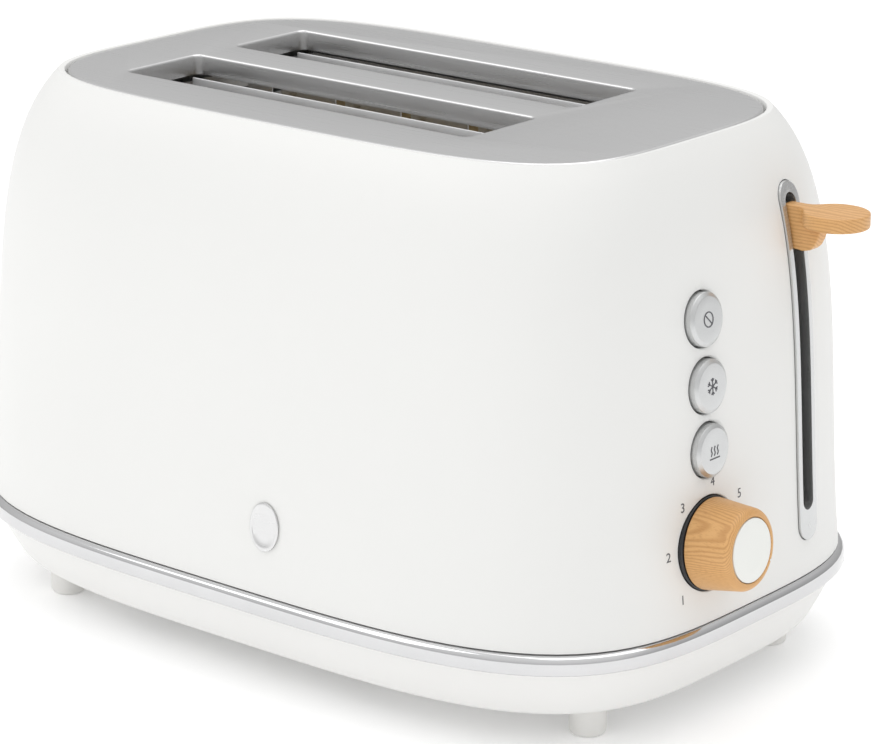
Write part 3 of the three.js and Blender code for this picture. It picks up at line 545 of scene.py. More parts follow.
def satin_silver(name="satin_silver_paint", low=0.34, high=0.44, metal=1):
    # Silver lacquer with fine flake over moulded plastic: bright, soft-edged reflections.
    material, tree, shader, place = new_finish(name, Metallic=metal)
    flake = add(tree, "ShaderNodeTexVoronoi", {"Vector": place, "Scale": 1 / (0.25 * MM)})
    tint = add(tree, "ShaderNodeMix", {
        0: flake.outputs["Distance"], 6: colour("D3D4D4"), 7: colour("CBCCCC"),
    }, data_type="RGBA")
    haze = add(tree, "ShaderNodeTexNoise", {"Vector": place, "Scale": 1 / (6 * MM), "Detail": 3})
    rough = add(tree, "ShaderNodeMapRange", {0: haze.outputs[0], 3: low, 4: high})
    feed(tree, shader, Base_Color=tint.outputs[2], Roughness=rough.outputs[0])
    return material


def wood_effect(name, direction, turn, ring_width):
    # Beech grain printed on moulded plastic: warm bands, thin darker lines and short pores.
    material, tree, shader, place = new_finish(name, IOR=1.5)
    along = add(tree, "ShaderNodeMapping", {"Vector": place, "Rotation": turn, "Scale": (0.22, 1, 1)})
    warp = add(tree, "ShaderNodeTexNoise", {
        "Vector": along.outputs[0], "Scale": 1 / (7 * MM), "Detail": 2,
    })
    bands = add(tree, "ShaderNodeTexWave", {
        "Vector": along.outputs[0], "Scale": BAND / ring_width, "Distortion": 11, "Detail": 1,
        "Detail Scale": 0.3, "Detail Roughness": 0.5,
    }, bands_direction=direction)
    pores = add(tree, "ShaderNodeTexNoise", {
        "Vector": along.outputs[0], "Scale": 1 / (0.35 * MM), "Detail": 3,
    })
    line = add(tree, "ShaderNodeMapRange", {0: bands.outputs[1], 1: 0.3, 2: 1.0, 3: 0.0, 4: 0.6})
    speck = add(tree, "ShaderNodeMapRange", {0: pores.outputs[0], 1: 0.52, 2: 0.7, 3: 0.0, 4: 0.45})
    warm = add(tree, "ShaderNodeMix", {
        0: warp.outputs[0], 6: colour("E2B37A"), 7: colour("D9A668"),
    }, data_type="RGBA")
    grained = add(tree, "ShaderNodeMix", {
        0: line.outputs[0], 6: warm.outputs[2], 7: colour("BC864C"),
    }, data_type="RGBA")
    pored = add(tree, "ShaderNodeMix", {
        0: speck.outputs[0], 6: grained.outputs[2], 7: colour("B98149"),
    }, data_type="RGBA")
    rough = add(tree, "ShaderNodeMapRange", {0: pores.outputs[0], 3: 0.38, 4: 0.52})
    bump = add(tree, "ShaderNodeBump", {
        "Height": pores.outputs[0], "Strength": 0.15, "Distance": 0.03 * MM,
    })
    feed(tree, shader, Base_Color=pored.outputs[2], Roughness=rough.outputs[0], Normal=bump.outputs[0])
    return material


def zinc_plated_sheet():
    # Rolled steel with bright zinc: clear but wavy reflections and faint rolling streaks.
    material, tree, shader, place = new_finish("zinc_plated_sheet", Metallic=0.55)
    along = add(tree, "ShaderNodeMapping", {
        "Vector": place, "Scale": (1 / (22 * MM), 1 / (4 * MM), 1 / (3 * MM)),
    })
    streak = add(tree, "ShaderNodeTexNoise", {"Vector": along.outputs[0], "Scale": 1, "Detail": 3})
    tint = add(tree, "ShaderNodeMix", {
        0: streak.outputs[0], 6: colour("EDEDEE"), 7: colour("D8D9DA"),
    }, data_type="RGBA")
    rough = add(tree, "ShaderNodeMapRange", {0: streak.outputs[0], 3: 0.28, 4: 0.5})
    wave = add(tree, "ShaderNodeTexNoise", {"Vector": place, "Scale": 1 / (14 * MM), "Detail": 1})
    bump = add(tree, "ShaderNodeBump", {"Height": wave.outputs[0], "Strength": 0.5, "Distance": 0.3 * MM})
    feed(tree, shader, Base_Color=tint.outputs[2], Roughness=rough.outputs[0], Normal=bump.outputs[0])
    return material


def plain_finish(name, light, dark, size, rough_low, rough_high, **shader_settings):
    # A fine-grained surface: two close tints and a roughness that drifts over one grain size.
    material, tree, shader, place = new_finish(name, **shader_settings)
    grain = add(tree, "ShaderNodeTexNoise", {"Vector": place, "Scale": 1 / size, "Detail": 3})
    tint = add(tree, "ShaderNodeMix", {
        0: grain.outputs[0], 6: colour(light), 7: colour(dark),
    }, data_type="RGBA")
    rough = add(tree, "ShaderNodeMapRange", {0: grain.outputs[0], 3: rough_low, 4: rough_high})
    bump = add(tree, "ShaderNodeBump", {
        "Height": grain.outputs[0], "Strength": 0.2, "Distance": size / 20,
    })
    feed(tree, shader, Base_Color=tint.outputs[2], Roughness=rough.outputs[0], Normal=bump.outputs[0])
    return material


def stacked_mica():
    # Pressed mica board: tan, with silvery flakes a few millimetres across.
    material, tree, shader, place = new_finish("stacked_mica")
    flake = add(tree, "ShaderNodeTexVoronoi", {"Vector": place, "Scale": 1 / (3 * MM)})
    tint = add(tree, "ShaderNodeMix", {
        0: flake.outputs["Distance"], 6: colour("D8C7A2"), 7: colour("B39A6C"),
    }, data_type="RGBA")
    rough = add(tree, "ShaderNodeMapRange", {0: flake.outputs["Distance"], 3: 0.3, 4: 0.65})
    feed(tree, shader, Base_Color=tint.outputs[2], Roughness=rough.outputs[0])
    return material


def wound_copper():
    # Enamelled copper wire wound in layers: a fine ridge for each turn, with painted shade in the grooves
    # between turns and a painted highlight on each crest.
    material, tree, shader, place = new_finish("wound_copper", Metallic=1)
    turns = add(tree, "ShaderNodeTexWave", {
        "Vector": place, "Scale": BAND / (0.5 * MM),
    }, bands_direction="Z")
    # Painted shade and highlight: the colour runs dark in the grooves and light on the crests, following
    # the same wave as the bump.
    tint = add(tree, "ShaderNodeMix", {
        0: turns.outputs[1], 6: colour("8E4A22"), 7: colour("C97B48"),
    }, data_type="RGBA")
    rough = add(tree, "ShaderNodeMapRange", {0: turns.outputs[1], 3: 0.45, 4: 0.28})
    bump = add(tree, "ShaderNodeBump", {
        "Height": turns.outputs[1], "Strength": 0.6, "Distance": 0.2 * MM,
    })
    feed(tree, shader, Base_Color=tint.outputs[2], Roughness=rough.outputs[0], Normal=bump.outputs[0])
    return material


def circuit_board():
    # Epoxy glass board under green solder mask: paler tracks show through in blocks.
    material, tree, shader, place = new_finish("solder_masked_board", IOR=1.55)
    tracks = add(tree, "ShaderNodeTexBrick", {
        "Vector": place, "Scale": 1 / (9 * MM), "Mortar Size": 0.05, "Color1": colour("215C33"),
        "Color2": colour("2A6B3D"), "Mortar": colour("4C8B58"),
    })
    grain = add(tree, "ShaderNodeTexNoise", {"Vector": place, "Scale": 1 / (1.5 * MM), "Detail": 2})
    rough = add(tree, "ShaderNodeMapRange", {0: grain.outputs[0], 3: 0.3, 4: 0.5})
    feed(tree, shader, Base_Color=tracks.outputs[0], Roughness=rough.outputs[0])
    return material


# ---------------------------------------------------------------- camera, floor and light

VIEW_TARGET = Vector((13.6, -8.3, 89)) * MM
VIEW_DISTANCE = 1.15
VIEW_AZIMUTH = math.radians(39.17)
VIEW_ELEVATION = math.radians(17.25)
VIEW_ROLL = math.radians(0.35)
LENS = 142.36
SENSOR = 36
FLOOR_SIZE = 14
LAMP_TARGET = Vector((0, 0, 0.08))


def make_camera():
    bpy.ops.object.camera_add()
    camera = bpy.context.object
    camera.data.lens = LENS
    camera.data.sensor_width = SENSOR
    camera.data.clip_start = 0.01
    turn = Matrix.Rotation(VIEW_AZIMUTH, 4, "Z") @ Matrix.Rotation(QUARTER_TURN - VIEW_ELEVATION, 4, "X")
    back = turn @ Vector((0, 0, VIEW_DISTANCE))
    camera.matrix_world = Matrix.Translation(VIEW_TARGET + back) @ turn @ Matrix.Rotation(VIEW_ROLL, 4, "Z")
    bpy.context.scene.camera = camera


def make_floor():
    # A white table top with light under it, so that it stays plain to its edges.
    floor = close(start("floor", bpy.ops.mesh.primitive_plane_add, size=FLOOR_SIZE))
    material, tree, shader, place = new_finish("lit_white_table", Roughness=0.9, Emission_Strength=0.15)
    shader.inputs["Emission Color"].default_value = (1, 1, 1, 1)
    grain = add(tree, "ShaderNodeTexNoise", {"Vector": place, "Scale": 1 / (3 * MM), "Detail": 2})
    tint = add(tree, "ShaderNodeMix", {
        0: grain.outputs[0], 6: colour("FDFDFD"), 7: colour("FBFBFB"),
    }, data_type="RGBA")
    feed(tree, shader, Base_Color=tint.outputs[2])
    floor.data.materials.append(material)


# Darker walls beyond the light, each as (direction, where it begins, where it is full, by how much):
# one far behind, which the top plate mirrors, and one to the right.
DARKER_WALLS = (
    ((-0.74, 0.6, 0.3), 0.55, 0.95, 0.16),
    ((0.55, 0.83, 0.1), 0.5, 1.0, 0.25),
)


def make_surround():
    """A pale surround that brightens upwards, with its darker walls."""
    world = bpy.data.worlds.new("studio")
    bpy.context.scene.world = world
    world.use_nodes = True
    tree = world.node_tree
    place = add(tree, "ShaderNodeTexCoord").outputs["Generated"]
    parts = add(tree, "ShaderNodeSeparateXYZ", {0: place})
    level = add(tree, "ShaderNodeMapRange", {0: parts.outputs[2], 1: 0.0, 2: 1.0, 3: 0.68, 4: 1.0})
    for direction, begins, full, drop in DARKER_WALLS:
        facing = add(tree, "ShaderNodeVectorMath", {0: place, 1: direction}, operation="DOT_PRODUCT")
        shade = add(tree, "ShaderNodeMapRange", {
            0: facing.outputs["Value"], 1: begins, 2: full, 3: 0.0, 4: drop,
        })
        level = add(tree, "ShaderNodeMath", {
            0: level.outputs[0], 1: shade.outputs[0],
        }, operation="SUBTRACT")
    tree.links.new(level.outputs[0], tree.nodes["Background"].inputs["Strength"])
    tree.nodes["Background"].inputs["Color"].default_value = (1, 1, 1, 1)


def lamp(name, position, size, power):
    """A square soft box that faces the toaster."""
    bpy.ops.object.light_add(type="AREA", location=position)
    light = bpy.context.object
    light.name = name
    light.data.shape = "SQUARE"
    light.data.size = size
    light.data.energy = power
    direction = Vector(position) - LAMP_TARGET
    light.rotation_euler = direction.to_track_quat("Z", "Y").to_euler()


bpy.context.scene.view_settings.view_transform = "Standard"
make_camera()
make_floor()
make_surround()
lamp("key_softbox", (-1.1, -1.3, 1.9), 1.4, 9.2)
lamp("top_softbox", (0.2, 0.5, 2.4), 2.2, 15)

enamel = matte_white_enamel()
stainless = brushed_stainless()
chrome = polished_chrome()
abs_white = moulded_white("moulded_white_abs", "ECECEA", "E9E8E6", 0.32, 0.42)
foot_rubber = moulded_white("moulded_white_rubber", "ECEBE8", "E4E3E0", 0.55, 0.7)
knob_white = moulded_white("moulded_white_cap", "EEEFEB", "EAEBE7", 0.42, 0.5)
silver = satin_silver()
trim_silver = satin_silver("bright_silver_trim", 0.2, 0.3, 0.8)
knob_wood = wood_effect("printed_beech_knob", "Y", (math.radians(35), 0, 0), 0.62 * MM)
lever_wood = wood_effect("printed_beech_lever", "Z", (math.radians(24), math.radians(5), 0), 1 * MM)
zinc = zinc_plated_sheet()
black = plain_finish("moulded_black_abs", "1C1D20", "232427", 0.8 * MM, 0.3, 0.45, IOR=1.53)
ribbon_steel = plain_finish("resistance_ribbon", "8F8A83", "6E675F", 2 * MM, 0.35, 0.55, Metallic=1)
ink = plain_finish("printed_grey_ink", "55565A", "66676B", 0.3 * MM, 0.5, 0.7)
mica = stacked_mica()
copper = wound_copper()
board_green = circuit_board()


# ---------------------------------------------------------------- casing

def face_hole(name, place, radius, ease):
    """A cutter for a round hole in the face whose mouth is rolled over by ease."""
    depth = 14 * MM
    above = 3 * MM
    profile = [(0, -depth), (radius, -depth)]
    profile += [(radius + ease - x, -ease + z) for x, z in arc((0, 0), ease, 0, 90, 5)]
    profile += [(radius + 2 * ease, above), (0, above)]
    return turned(name, profile, place)


def casing_skin():
    """The casing's two skins as one wall, with a rolled rim and a ledge that the slot plate sits on."""
    steps = [casing_level(i / CASING_STEPS) for i in range(CASING_STEPS + 1)]
    outside = loft("casing", steps)
    rim_x, rim_y = steps[-1][:2]
    seat_x = PLATE_HALF_LENGTH + PLATE_SEAM
    seat_y = PLATE_HALF_WIDTH + PLATE_SEAM
    mouth_x = PLATE_HALF_LENGTH - LEDGE_WIDTH
    mouth_y = PLATE_HALF_WIDTH - LEDGE_WIDTH
    under_ledge = LEDGE - LEDGE_SHEET
    roll = 0.5 * MM
    pick("EDGE", lambda e: middle(e).z > RIM - TOUCH)
    carry_outline([
        (rim_x, rim_y, RIM),
        (seat_x + roll, seat_y + roll, RIM),
        (seat_x + 0.29 * roll, seat_y + 0.29 * roll, RIM - 0.15 * MM),
        (seat_x, seat_y, RIM - roll),
        (seat_x, seat_y, LEDGE),
        (mouth_x, mouth_y, LEDGE),
        (mouth_x, mouth_y, under_ledge),
    ])
    inner_steps = 12
    inner_top = turn_at(under_ledge)
    inner = [casing_level(inner_top * i / inner_steps, -WALL) for i in range(inner_steps + 1)]
    inner[-1] = (*inner[-1][:2], UPPER_ROUNDNESS, under_ledge)
    pick("EDGE", lambda e: e.is_boundary and middle(e).z > under_ledge - TOUCH)
    carry_outline([(mouth_x, mouth_y, under_ledge), (*inner[-1][:2], under_ledge)])
    pick("EDGE", lambda e: e.is_boundary and middle(e).z < CASING_FOOT + TOUCH)
    carry_outline([(*steps[0][:2], CASING_FOOT), (*inner[0][:2], CASING_FOOT)])
    close(outside)
    inside = close(loft("casing_inside", inner))
    return clean(join("casing", [outside, inside]))


def casing():
    """The white casing, opened for the lever, the knob and the buttons."""
    piece = casing_skin()
    margin = 0.3 * MM
    width = TRIM_HIGH.y - TRIM_LOW.y + 2 * margin
    through = (TRIM_LOW.x - 20 * MM, TRIM_HIGH.x + 20 * MM)
    knob_hole = on_face(KNOB_Y, RIM - KNOB_DROP)
    cutters = [
        stadium("lever_opening", width, TRIM_LOW.z - margin, TRIM_HIGH.z + margin, *through, LEVER_Y),
        face_hole("bezel_hole", knob_hole, BEZEL_RADIUS + GAP, 0.3 * MM),
    ]
    for name, drop in BUTTON_DROPS.items():
        place = on_face(CONTROLS_Y, RIM - drop)
        cutters.append(face_hole(name, place, BUTTON_RADIUS + 0.45 * MM, 0.9 * MM))
    combine(piece, "DIFFERENCE", *cutters)
    finish(piece, enamel, "matte_white_casing", "casing", "outer_shell", sharp=32)


# ---------------------------------------------------------------- slot plate

def at_plate_edge(point):
    """Whether a point lies at the plate's outer edge."""
    across = (abs(point.x - CENTRE) / PLATE_HALF_LENGTH) ** UPPER_ROUNDNESS
    return across + (abs(point.y) / PLATE_HALF_WIDTH) ** UPPER_ROUNDNESS > 0.98


def in_slot_wall(edge):
    """Whether an edge runs round a slot: one of its faces stands upright."""
    return any(abs(face.normal.z) < 0.3 for face in edge.link_faces)


def slot_plate():
    """The pressed plate: a rolled outer edge, and two slots whose edges are folded down."""
    low = PLATE_TOP - PLATE_SHEET - FLANGE_DEPTH
    plate = loft("slot_plate", [(PLATE_HALF_LENGTH, PLATE_HALF_WIDTH, UPPER_ROUNDNESS, low)])
    bpy.ops.mesh.select_all(action="SELECT")
    bpy.ops.mesh.edge_face_add()
    bpy.ops.mesh.extrude_region_move(TRANSFORM_OT_translate={"value": (0, 0, PLATE_TOP - low)})
    face_outwards()
    close(plate)
    for side in (-1, 1):
        centre = (SLOT_X, side * SLOT_PITCH / 2, PLATE_TOP)
        cutter = block("slot_cutter", centre, (SLOT_LENGTH, SLOT_WIDTH, 40 * MM))
        pick("EDGE", runs_along(2))
        bpy.ops.mesh.bevel(offset=SLOT_CORNER, segments=8, affect="EDGES")
        combine(plate, "DIFFERENCE", close(cutter))
    edit(plate)
    pick("FACE", lambda f: f.normal.z < -0.9)
    bpy.ops.mesh.delete(type="ONLY_FACE")
    pick("VERT", lambda v: v.co.z < low + 0.1 * MM and at_plate_edge(v.co))
    bpy.ops.transform.translate(value=(0, 0, PLATE_TOP - PLATE_DEPTH - low))
    pick("EDGE", lambda e: middle(e).z > PLATE_TOP - TOUCH and at_plate_edge(middle(e)))
    bpy.ops.mesh.bevel(offset=1.2 * MM, segments=5, affect="EDGES", profile=0.5)
    pick("EDGE", lambda e: middle(e).z > PLATE_TOP - TOUCH and in_slot_wall(e))
    bpy.ops.mesh.bevel(offset=0.9 * MM, segments=4, affect="EDGES", profile=0.5)
    close(plate)
    modify(plate, "SOLIDIFY", thickness=PLATE_SHEET, offset=-1, use_even_offset=True)
    finish(plate, stainless, "brushed_stainless", "casing", "top_plate", sharp=25)


# ---------------------------------------------------------------- band, skirt and feet

def chrome_band():
    """A half-round chrome bead between the casing and the skirt."""
    proud = (BAND_HIGH.x - BAND_LOW.x) / 2 - HALF_LENGTH
    low, top = BAND_LOW.z, BAND_HIGH.z
    depth = 4.4 * MM
    foot_round = 0.8 * MM
    head_round = 2.7 * MM
    section = arc((proud - foot_round, low + foot_round), foot_round, -90, 0, 4)
    section += arc((proud - head_round, top - head_round), head_round, 0, 90, 8)
    section += [(proud - depth, top), (proud - depth, low), section[0]]
    steps = [(HALF_LENGTH + out, HALF_WIDTH + out, z) for out, z in section]
    band = loft("chrome_band", [(*steps[0][:2], LOWER_ROUNDNESS, low)])
    bpy.ops.mesh.select_all(action="SELECT")
    carry_outline(steps)
    close(band)
    finish(clean(band), chrome, "polished_chrome", "casing", "trim_band")


def skirt_level(z, offset=0):
    """The skirt's half sizes at a height: it leans in towards the floor."""
    share = (z - SKIRT_LOW.z) / (SKIRT_HIGH.z - SKIRT_LOW.z)
    drawn = 1 - share ** 0.8
    return (
        HALF_LENGTH - SKIRT_INSET - SKIRT_END_TAPER * drawn + offset,
        HALF_WIDTH - SKIRT_INSET - SKIRT_SIDE_TAPER * drawn + offset,
        z,
    )


def skirt_outside():
    """The skirt's outer skin, open at the top and closed by a flat underside."""
    height = SKIRT_HIGH.z - SKIRT_LOW.z
    rounding = [(SKIRT_ROUND * (1 - x), SKIRT_ROUND * (1 - z)) for x, z in arc((0, 0), 1, 0, 90, 5)]
    edge = [skirt_level(SKIRT_LOW.z + up, -inset) for inset, up in reversed(rounding)]
    shares = (0.25, 0.35, 0.45, 0.55, 0.65, 0.75, 0.85, 0.95, 1)
    walls = [skirt_level(SKIRT_LOW.z + height * share) for share in shares]
    skirt = loft("skirt", [(*edge[0][:2], LOWER_ROUNDNESS, edge[0][2])])
    bpy.ops.mesh.select_all(action="SELECT")
    carry_outline(edge + walls)
    pick("EDGE", lambda e: middle(e).z < SKIRT_LOW.z + TOUCH)
    bpy.ops.mesh.edge_face_add()
    face_outwards()
    return close(skirt)


def vent_cutter(x, y):
    """A slot with round corners through the skirt's underside."""
    half = Vector((VENT_WIDTH / 2, VENT_LENGTH / 2, 3 * MM))
    centre = Vector((x, y, SKIRT_LOW.z + 1 * MM))
    tool = box_tool("vent", centre - half, centre + half)
    edit(tool)
    pick("EDGE", runs_along(2))
    bpy.ops.mesh.bevel(offset=VENT_WIDTH * 0.49, segments=6, affect="EDGES")
    return close(tool)


def gland_cutter():
    gland = (GLAND_LOW + GLAND_HIGH) / 2
    hole = 5.7 * MM
    depth = 6 * MM
    profile = [(0, -depth), (hole, -depth), (hole, depth), (0, depth)]
    return turned("gland_hole", profile, Matrix.Translation((gland.x, gland.y, SKIRT_LOW.z)), 32)


def skirt():
    """The moulded skirt, cut for the crumb tray, the vents and the cord's gland."""
    piece = skirt_outside()
    modify(piece, "SOLIDIFY", thickness=WALL, offset=-1, use_even_offset=True)
    tools = [box_tool(
        "tray_mouth",
        (SKIRT_LOW.x - 10 * MM, HANDLE_LOW.y, TRAY_LOW.z - 0.3 * MM),
        (TRAY_LOW.x + 12 * MM, HANDLE_HIGH.y, TRAY_HIGH.z + 2.4 * MM),
    )]
    for side in (-1, 1):
        for i in range(VENT_COUNT):
            tools.append(vent_cutter(SLOT_X + (i - (VENT_COUNT - 1) / 2) * VENT_PITCH, side * VENT_Y))
    combine(piece, "DIFFERENCE", *tools, gland_cutter())
    finish(piece, abs_white, "white_plastic", "casing", "base_skirt")


def feet():
    """Soft white feet with a rounded tread, one at each corner of the underside."""
    tread = 1.6 * MM
    stem = 2.5 * MM
    ease = 0.5 * MM
    for node in ("foot_near_control", "foot_far_control", "foot_near_rear", "foot_far_rear"):
        low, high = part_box(node)
        radius = (high.x - low.x) / 2
        profile = [(0, 0), (radius * 0.55, 0), (radius * 0.6, 0.25 * MM)]
        profile += arc((radius - tread, tread), tread, -80, 0, 6)
        profile += [(radius, SKIRT_SEAT - ease), (radius - ease, SKIRT_SEAT)]
        profile += [(stem, SKIRT_SEAT), (stem, high.z), (0, high.z)]
        place = Matrix.Translation(((low.x + high.x) / 2, (low.y + high.y) / 2, 0))
        piece = turned(node + "_moulded", profile, place, 48)
        finish(piece, foot_rubber, "white_rubber", "casing", node)


def cord_gland():
    """The moulded ring that the mains cord would leave by."""
    centre = (GLAND_LOW + GLAND_HIGH) / 2
    outer = (GLAND_HIGH.x - GLAND_LOW.x) / 2
    bore = 3.8 * MM
    neck = bore + 1.6 * MM
    lead_in = 0.6 * MM
    ease = 0.8 * MM
    base = GLAND_LOW.z
    collar = SKIRT_SEAT + 3.1 * MM
    profile = [(bore, base + lead_in), (bore + lead_in, base)]
    profile += arc((outer - ease, base + ease), ease, -90, 0, 4)
    profile += [(outer, SKIRT_SEAT), (neck, SKIRT_SEAT), (neck, collar), (outer, collar)]
    profile += [(outer, GLAND_HIGH.z), (bore, GLAND_HIGH.z), (bore, base + lead_in)]
    piece = turned("cord_gland_moulded", profile, Matrix.Translation((centre.x, centre.y, 0)), 48)
    finish(piece, black, "black_plastic", "casing", "cord_gland")


def tray_pull():
    """The lip that the crumb tray is pulled by, its outer corners rounded."""
    half_width = 22 * MM
    low = (HANDLE_LOW.x + 0.2 * MM, -half_width, TRAY_LOW.z + 0.7 * MM)
    high = (HANDLE_LOW.x + 12 * MM, half_width, TRAY_LOW.z + 2.9 * MM)
    pull = box_tool("tray_pull", low, high)
    edit(pull)
    upright = runs_along(2)
    pick("EDGE", lambda e: middle(e).x < HANDLE_LOW.x + 1 * MM and upright(e))
    bpy.ops.mesh.bevel(offset=5 * MM, segments=8, affect="EDGES")
    close(pull)
    modify(pull, "BEVEL", width=0.6 * MM, segments=3, limit_method="ANGLE", angle_limit=math.radians(50))
    return pull


def tray_front():
    """The crumb tray's front: a strip that follows the skirt, with a lip to pull."""
    offset = 0.5 * MM
    low, high = TRAY_LOW.z - 1 * MM, TRAY_HIGH.z + 3.1 * MM
    steps = [skirt_level(low + (high - low) * i / 4, offset) for i in range(5)]
    piece = loft("tray_front", [(*steps[0][:2], LOWER_ROUNDNESS, low)])
    bpy.ops.mesh.select_all(action="SELECT")
    carry_outline(steps)
    slice_along([
        ((CENTRE - HALF_LENGTH / 2, 0, 0), (1, 0, 0)),
        ((0, HANDLE_HIGH.y, 0), (0, 1, 0)),
        ((0, HANDLE_LOW.y, 0), (0, -1, 0)),
    ], clear_outer=True)
    close(piece)
    modify(piece, "SOLIDIFY", thickness=1.5 * MM, offset=1, use_even_offset=True)
    modify(piece, "BEVEL", width=0.5 * MM, segments=3, limit_method="ANGLE", angle_limit=math.radians(40))
    combine(piece, "UNION", tray_pull())
    finish(piece, abs_white, "white_plastic", "crumb_tray", "tray_handle")


# ---------------------------------------------------------------- lever and its trim

def lay_on_casing(piece, side, offset, test):
    """Draws the vertices that pass the test along X to the casing's surface pushed out by offset."""
    group = piece.vertex_groups.new(name=side)
    group.add([v.index for v in piece.data.vertices if test(v.co)], 1, "REPLACE")
    steps = [casing_level(i / CASING_STEPS, offset) for i in range(CASING_STEPS + 1)]
    form = close(loft("form", steps))
    modify(
        piece, "SHRINKWRAP", target=form, vertex_group=side, wrap_method="PROJECT",
        use_project_x=True, use_positive_direction=True, use_negative_direction=True,
    )
    bpy.data.objects.remove(form)


def lever_trim():
    """The bright surround of the lever's slot: an oval ring that follows the bulge of the casing."""
    width = TRIM_HIGH.y - TRIM_LOW.y
    slot_top = TRIM_HIGH.z - 3.4 * MM
    slot_foot = TRIM_LOW.z + 10 * MM
    back = 20 * MM
    front = TRIM_HIGH.x + 20 * MM
    trim = stadium("lever_surround", width, TRIM_LOW.z, TRIM_HIGH.z, back, front, LEVER_Y)
    hole = stadium("lever_slot", LEVER_SLOT, slot_foot, slot_top, back / 2, front + 10 * MM, LEVER_Y)
    combine(trim, "DIFFERENCE", hole)
    edit(trim)
    steps = 48
    foot = TRIM_LOW.z + width / 2
    straight = TRIM_HIGH.z - TRIM_LOW.z - width
    slice_along([((0, 0, foot + straight * i / steps), (0, 0, 1)) for i in range(1, steps)])
    close(trim)
    lay_on_casing(trim, "front", 0.8 * MM, lambda co: co.x > TRIM_HIGH.x)
    lay_on_casing(trim, "back", -3.4 * MM, lambda co: co.x < back + 10 * MM)
    modify(trim, "BEVEL", width=0.75 * MM, segments=4, limit_method="ANGLE", angle_limit=math.radians(60))
    finish(trim, trim_silver, "satin_silver", "casing", "lever_trim", sharp=50)


def lever_handle():
    """The wood-effect handle: a flat round pad whose underside swells into a deep, narrow neck."""
    pad_radius = 10.6 * MM
    pad_thick = 4.8 * MM
    neck_half = 2.6 * MM
    face = face_x(LEVER_Y, (LEVER_LOW.z + LEVER_HIGH.z) / 2)
    pad_x = LEVER_HIGH.x - 0.1 * MM - pad_radius
    low = LEVER_LOW.z + 0.6 * MM
    top = LEVER_HIGH.z
    under = top - pad_thick
    flare = 5 * MM
    meet = math.asin((neck_half + flare) / (pad_radius + flare))
    hub = pad_x - (pad_radius + flare) * math.cos(meet)
    fillet = arc((hub, -neck_half - flare), flare, 90, math.degrees(meet), 6)
    rim = arc((pad_x, 0), pad_radius, -180 + math.degrees(meet), 0, 24)
    half = [(LEVER_LOW.x + 2 * MM, -neck_half)] + fillet + rim[1:]
    plan = half + [(x, -y) for x, y in reversed(half[:-1])]
    body = prism("lever_plan", [(x, LEVER_Y + y, under) for x, y in plan], (0, 0, pad_thick))
    # The neck's underside swells out from the face and then rises to the pad.
    swell = [(3, -0.3), (5.5, -0.5), (8, 0.1), (9.6, 1.5), (10.8, 3.8)]
    side = [(LEVER_LOW.x, top), (LEVER_LOW.x, low)]
    side += [(face + out * MM, low + up * MM) for out, up in swell]
    side += [(face + 12.5 * MM, under), (face + 15 * MM, under + 1 * MM), (face + 15 * MM, top)]
    neck = prism("lever_side", [(x, LEVER_Y - neck_half, z) for x, z in side], (0, 2 * neck_half, 0))
    combine(body, "UNION", neck)
    modify(body, "REMESH", mode="VOXEL", voxel_size=0.3 * MM)
    modify(body, "SMOOTH", factor=0.5, iterations=16)
    body.name = "lever_grip"
    finish(body, lever_wood, "wood_effect", "carriage", "lever_handle", sharp=180)


# ---------------------------------------------------------------- buttons, knob and print

def button(name):
    """A silver push button with a flange behind the casing, and its printed icon."""
    place = on_face(CONTROLS_Y, RIM - BUTTON_DROPS[name])
    skirt_radius = BUTTON_RADIUS + 1.1 * MM
    seat = -WALL - 1.2 * MM
    under_seat = seat - 1.3 * MM
    stem = 3 * MM
    stem_end = -11.5 * MM
    top = BUTTON_PROUD - 0.3 * MM
    profile = [(0, stem_end), (stem, stem_end), (stem, under_seat), (skirt_radius, under_seat)]
    profile += [(skirt_radius, seat), (BUTTON_RADIUS, seat)]
    profile += arc((BUTTON_RADIUS - 0.35 * MM, top - 0.95 * MM), 0.35 * MM, 0, 50, 3)
    profile += arc((BUTTON_RADIUS - 1.35 * MM, top - 0.3 * MM), 0.3 * MM, 40, 90, 3)
    profile += [(BUTTON_RADIUS * 0.5, top), (0, top)]
    piece = turned(name + "_cap", profile, place)
    finish(piece, silver, "satin_silver", name + "_button", name + "_button", sharp=40)
    icon = ICONS[name](name + "_icon")
    lift = Matrix.Translation((0, 0, top)) @ Matrix.Scale(1.2, 4)
    put(icon, place @ lift @ Matrix.Rotation(QUARTER_TURN, 4, "Z"))
    finish(icon, ink, "black_plastic", name + "_button")


def bar(name, centre, length, angle):
    """A short printed stroke, its middle and direction given in the face's own plane."""
    piece = block(name, (0, 0, INK_HEIGHT / 2), (length, INK_WIDTH, INK_HEIGHT))
    pick("EDGE", runs_along(2, INK_HEIGHT / 2))
    bpy.ops.mesh.bevel(offset=INK_WIDTH * 0.45, segments=3, affect="EDGES")
    return put(piece, Matrix.Translation((*centre, 0)) @ Matrix.Rotation(angle, 4, "Z"))


def stop_icon(name):
    """A ring with a stroke across it."""
    radius = 2.1 * MM
    inside = radius - INK_WIDTH
    ring = [(inside, 0), (radius, 0), (radius, INK_HEIGHT), (inside, INK_HEIGHT), (inside, 0)]
    hoop = turned("hoop", ring, None, 40)
    return join(name, [hoop, bar("stroke", (0, 0), 2 * radius - INK_WIDTH, math.radians(-45))])


def snowflake_icon(name):
    """Three spokes with a pair of twigs at each end."""
    length = 4.6 * MM
    parts = []
    for i in range(3):
        angle = math.radians(90 + 60 * i)
        parts.append(bar("spoke", (0, 0), length, angle))
        for way in (0, math.pi):
            out = Vector((math.cos(angle + way), math.sin(angle + way))) * 1.45 * MM
            for side in (-1, 1):
                twig = angle + way + side * math.radians(48)
                tip = out + Vector((math.cos(twig), math.sin(twig))) * 0.42 * MM
                parts.append(bar("twig", tip, 0.95 * MM, twig))
    return join(name, parts)


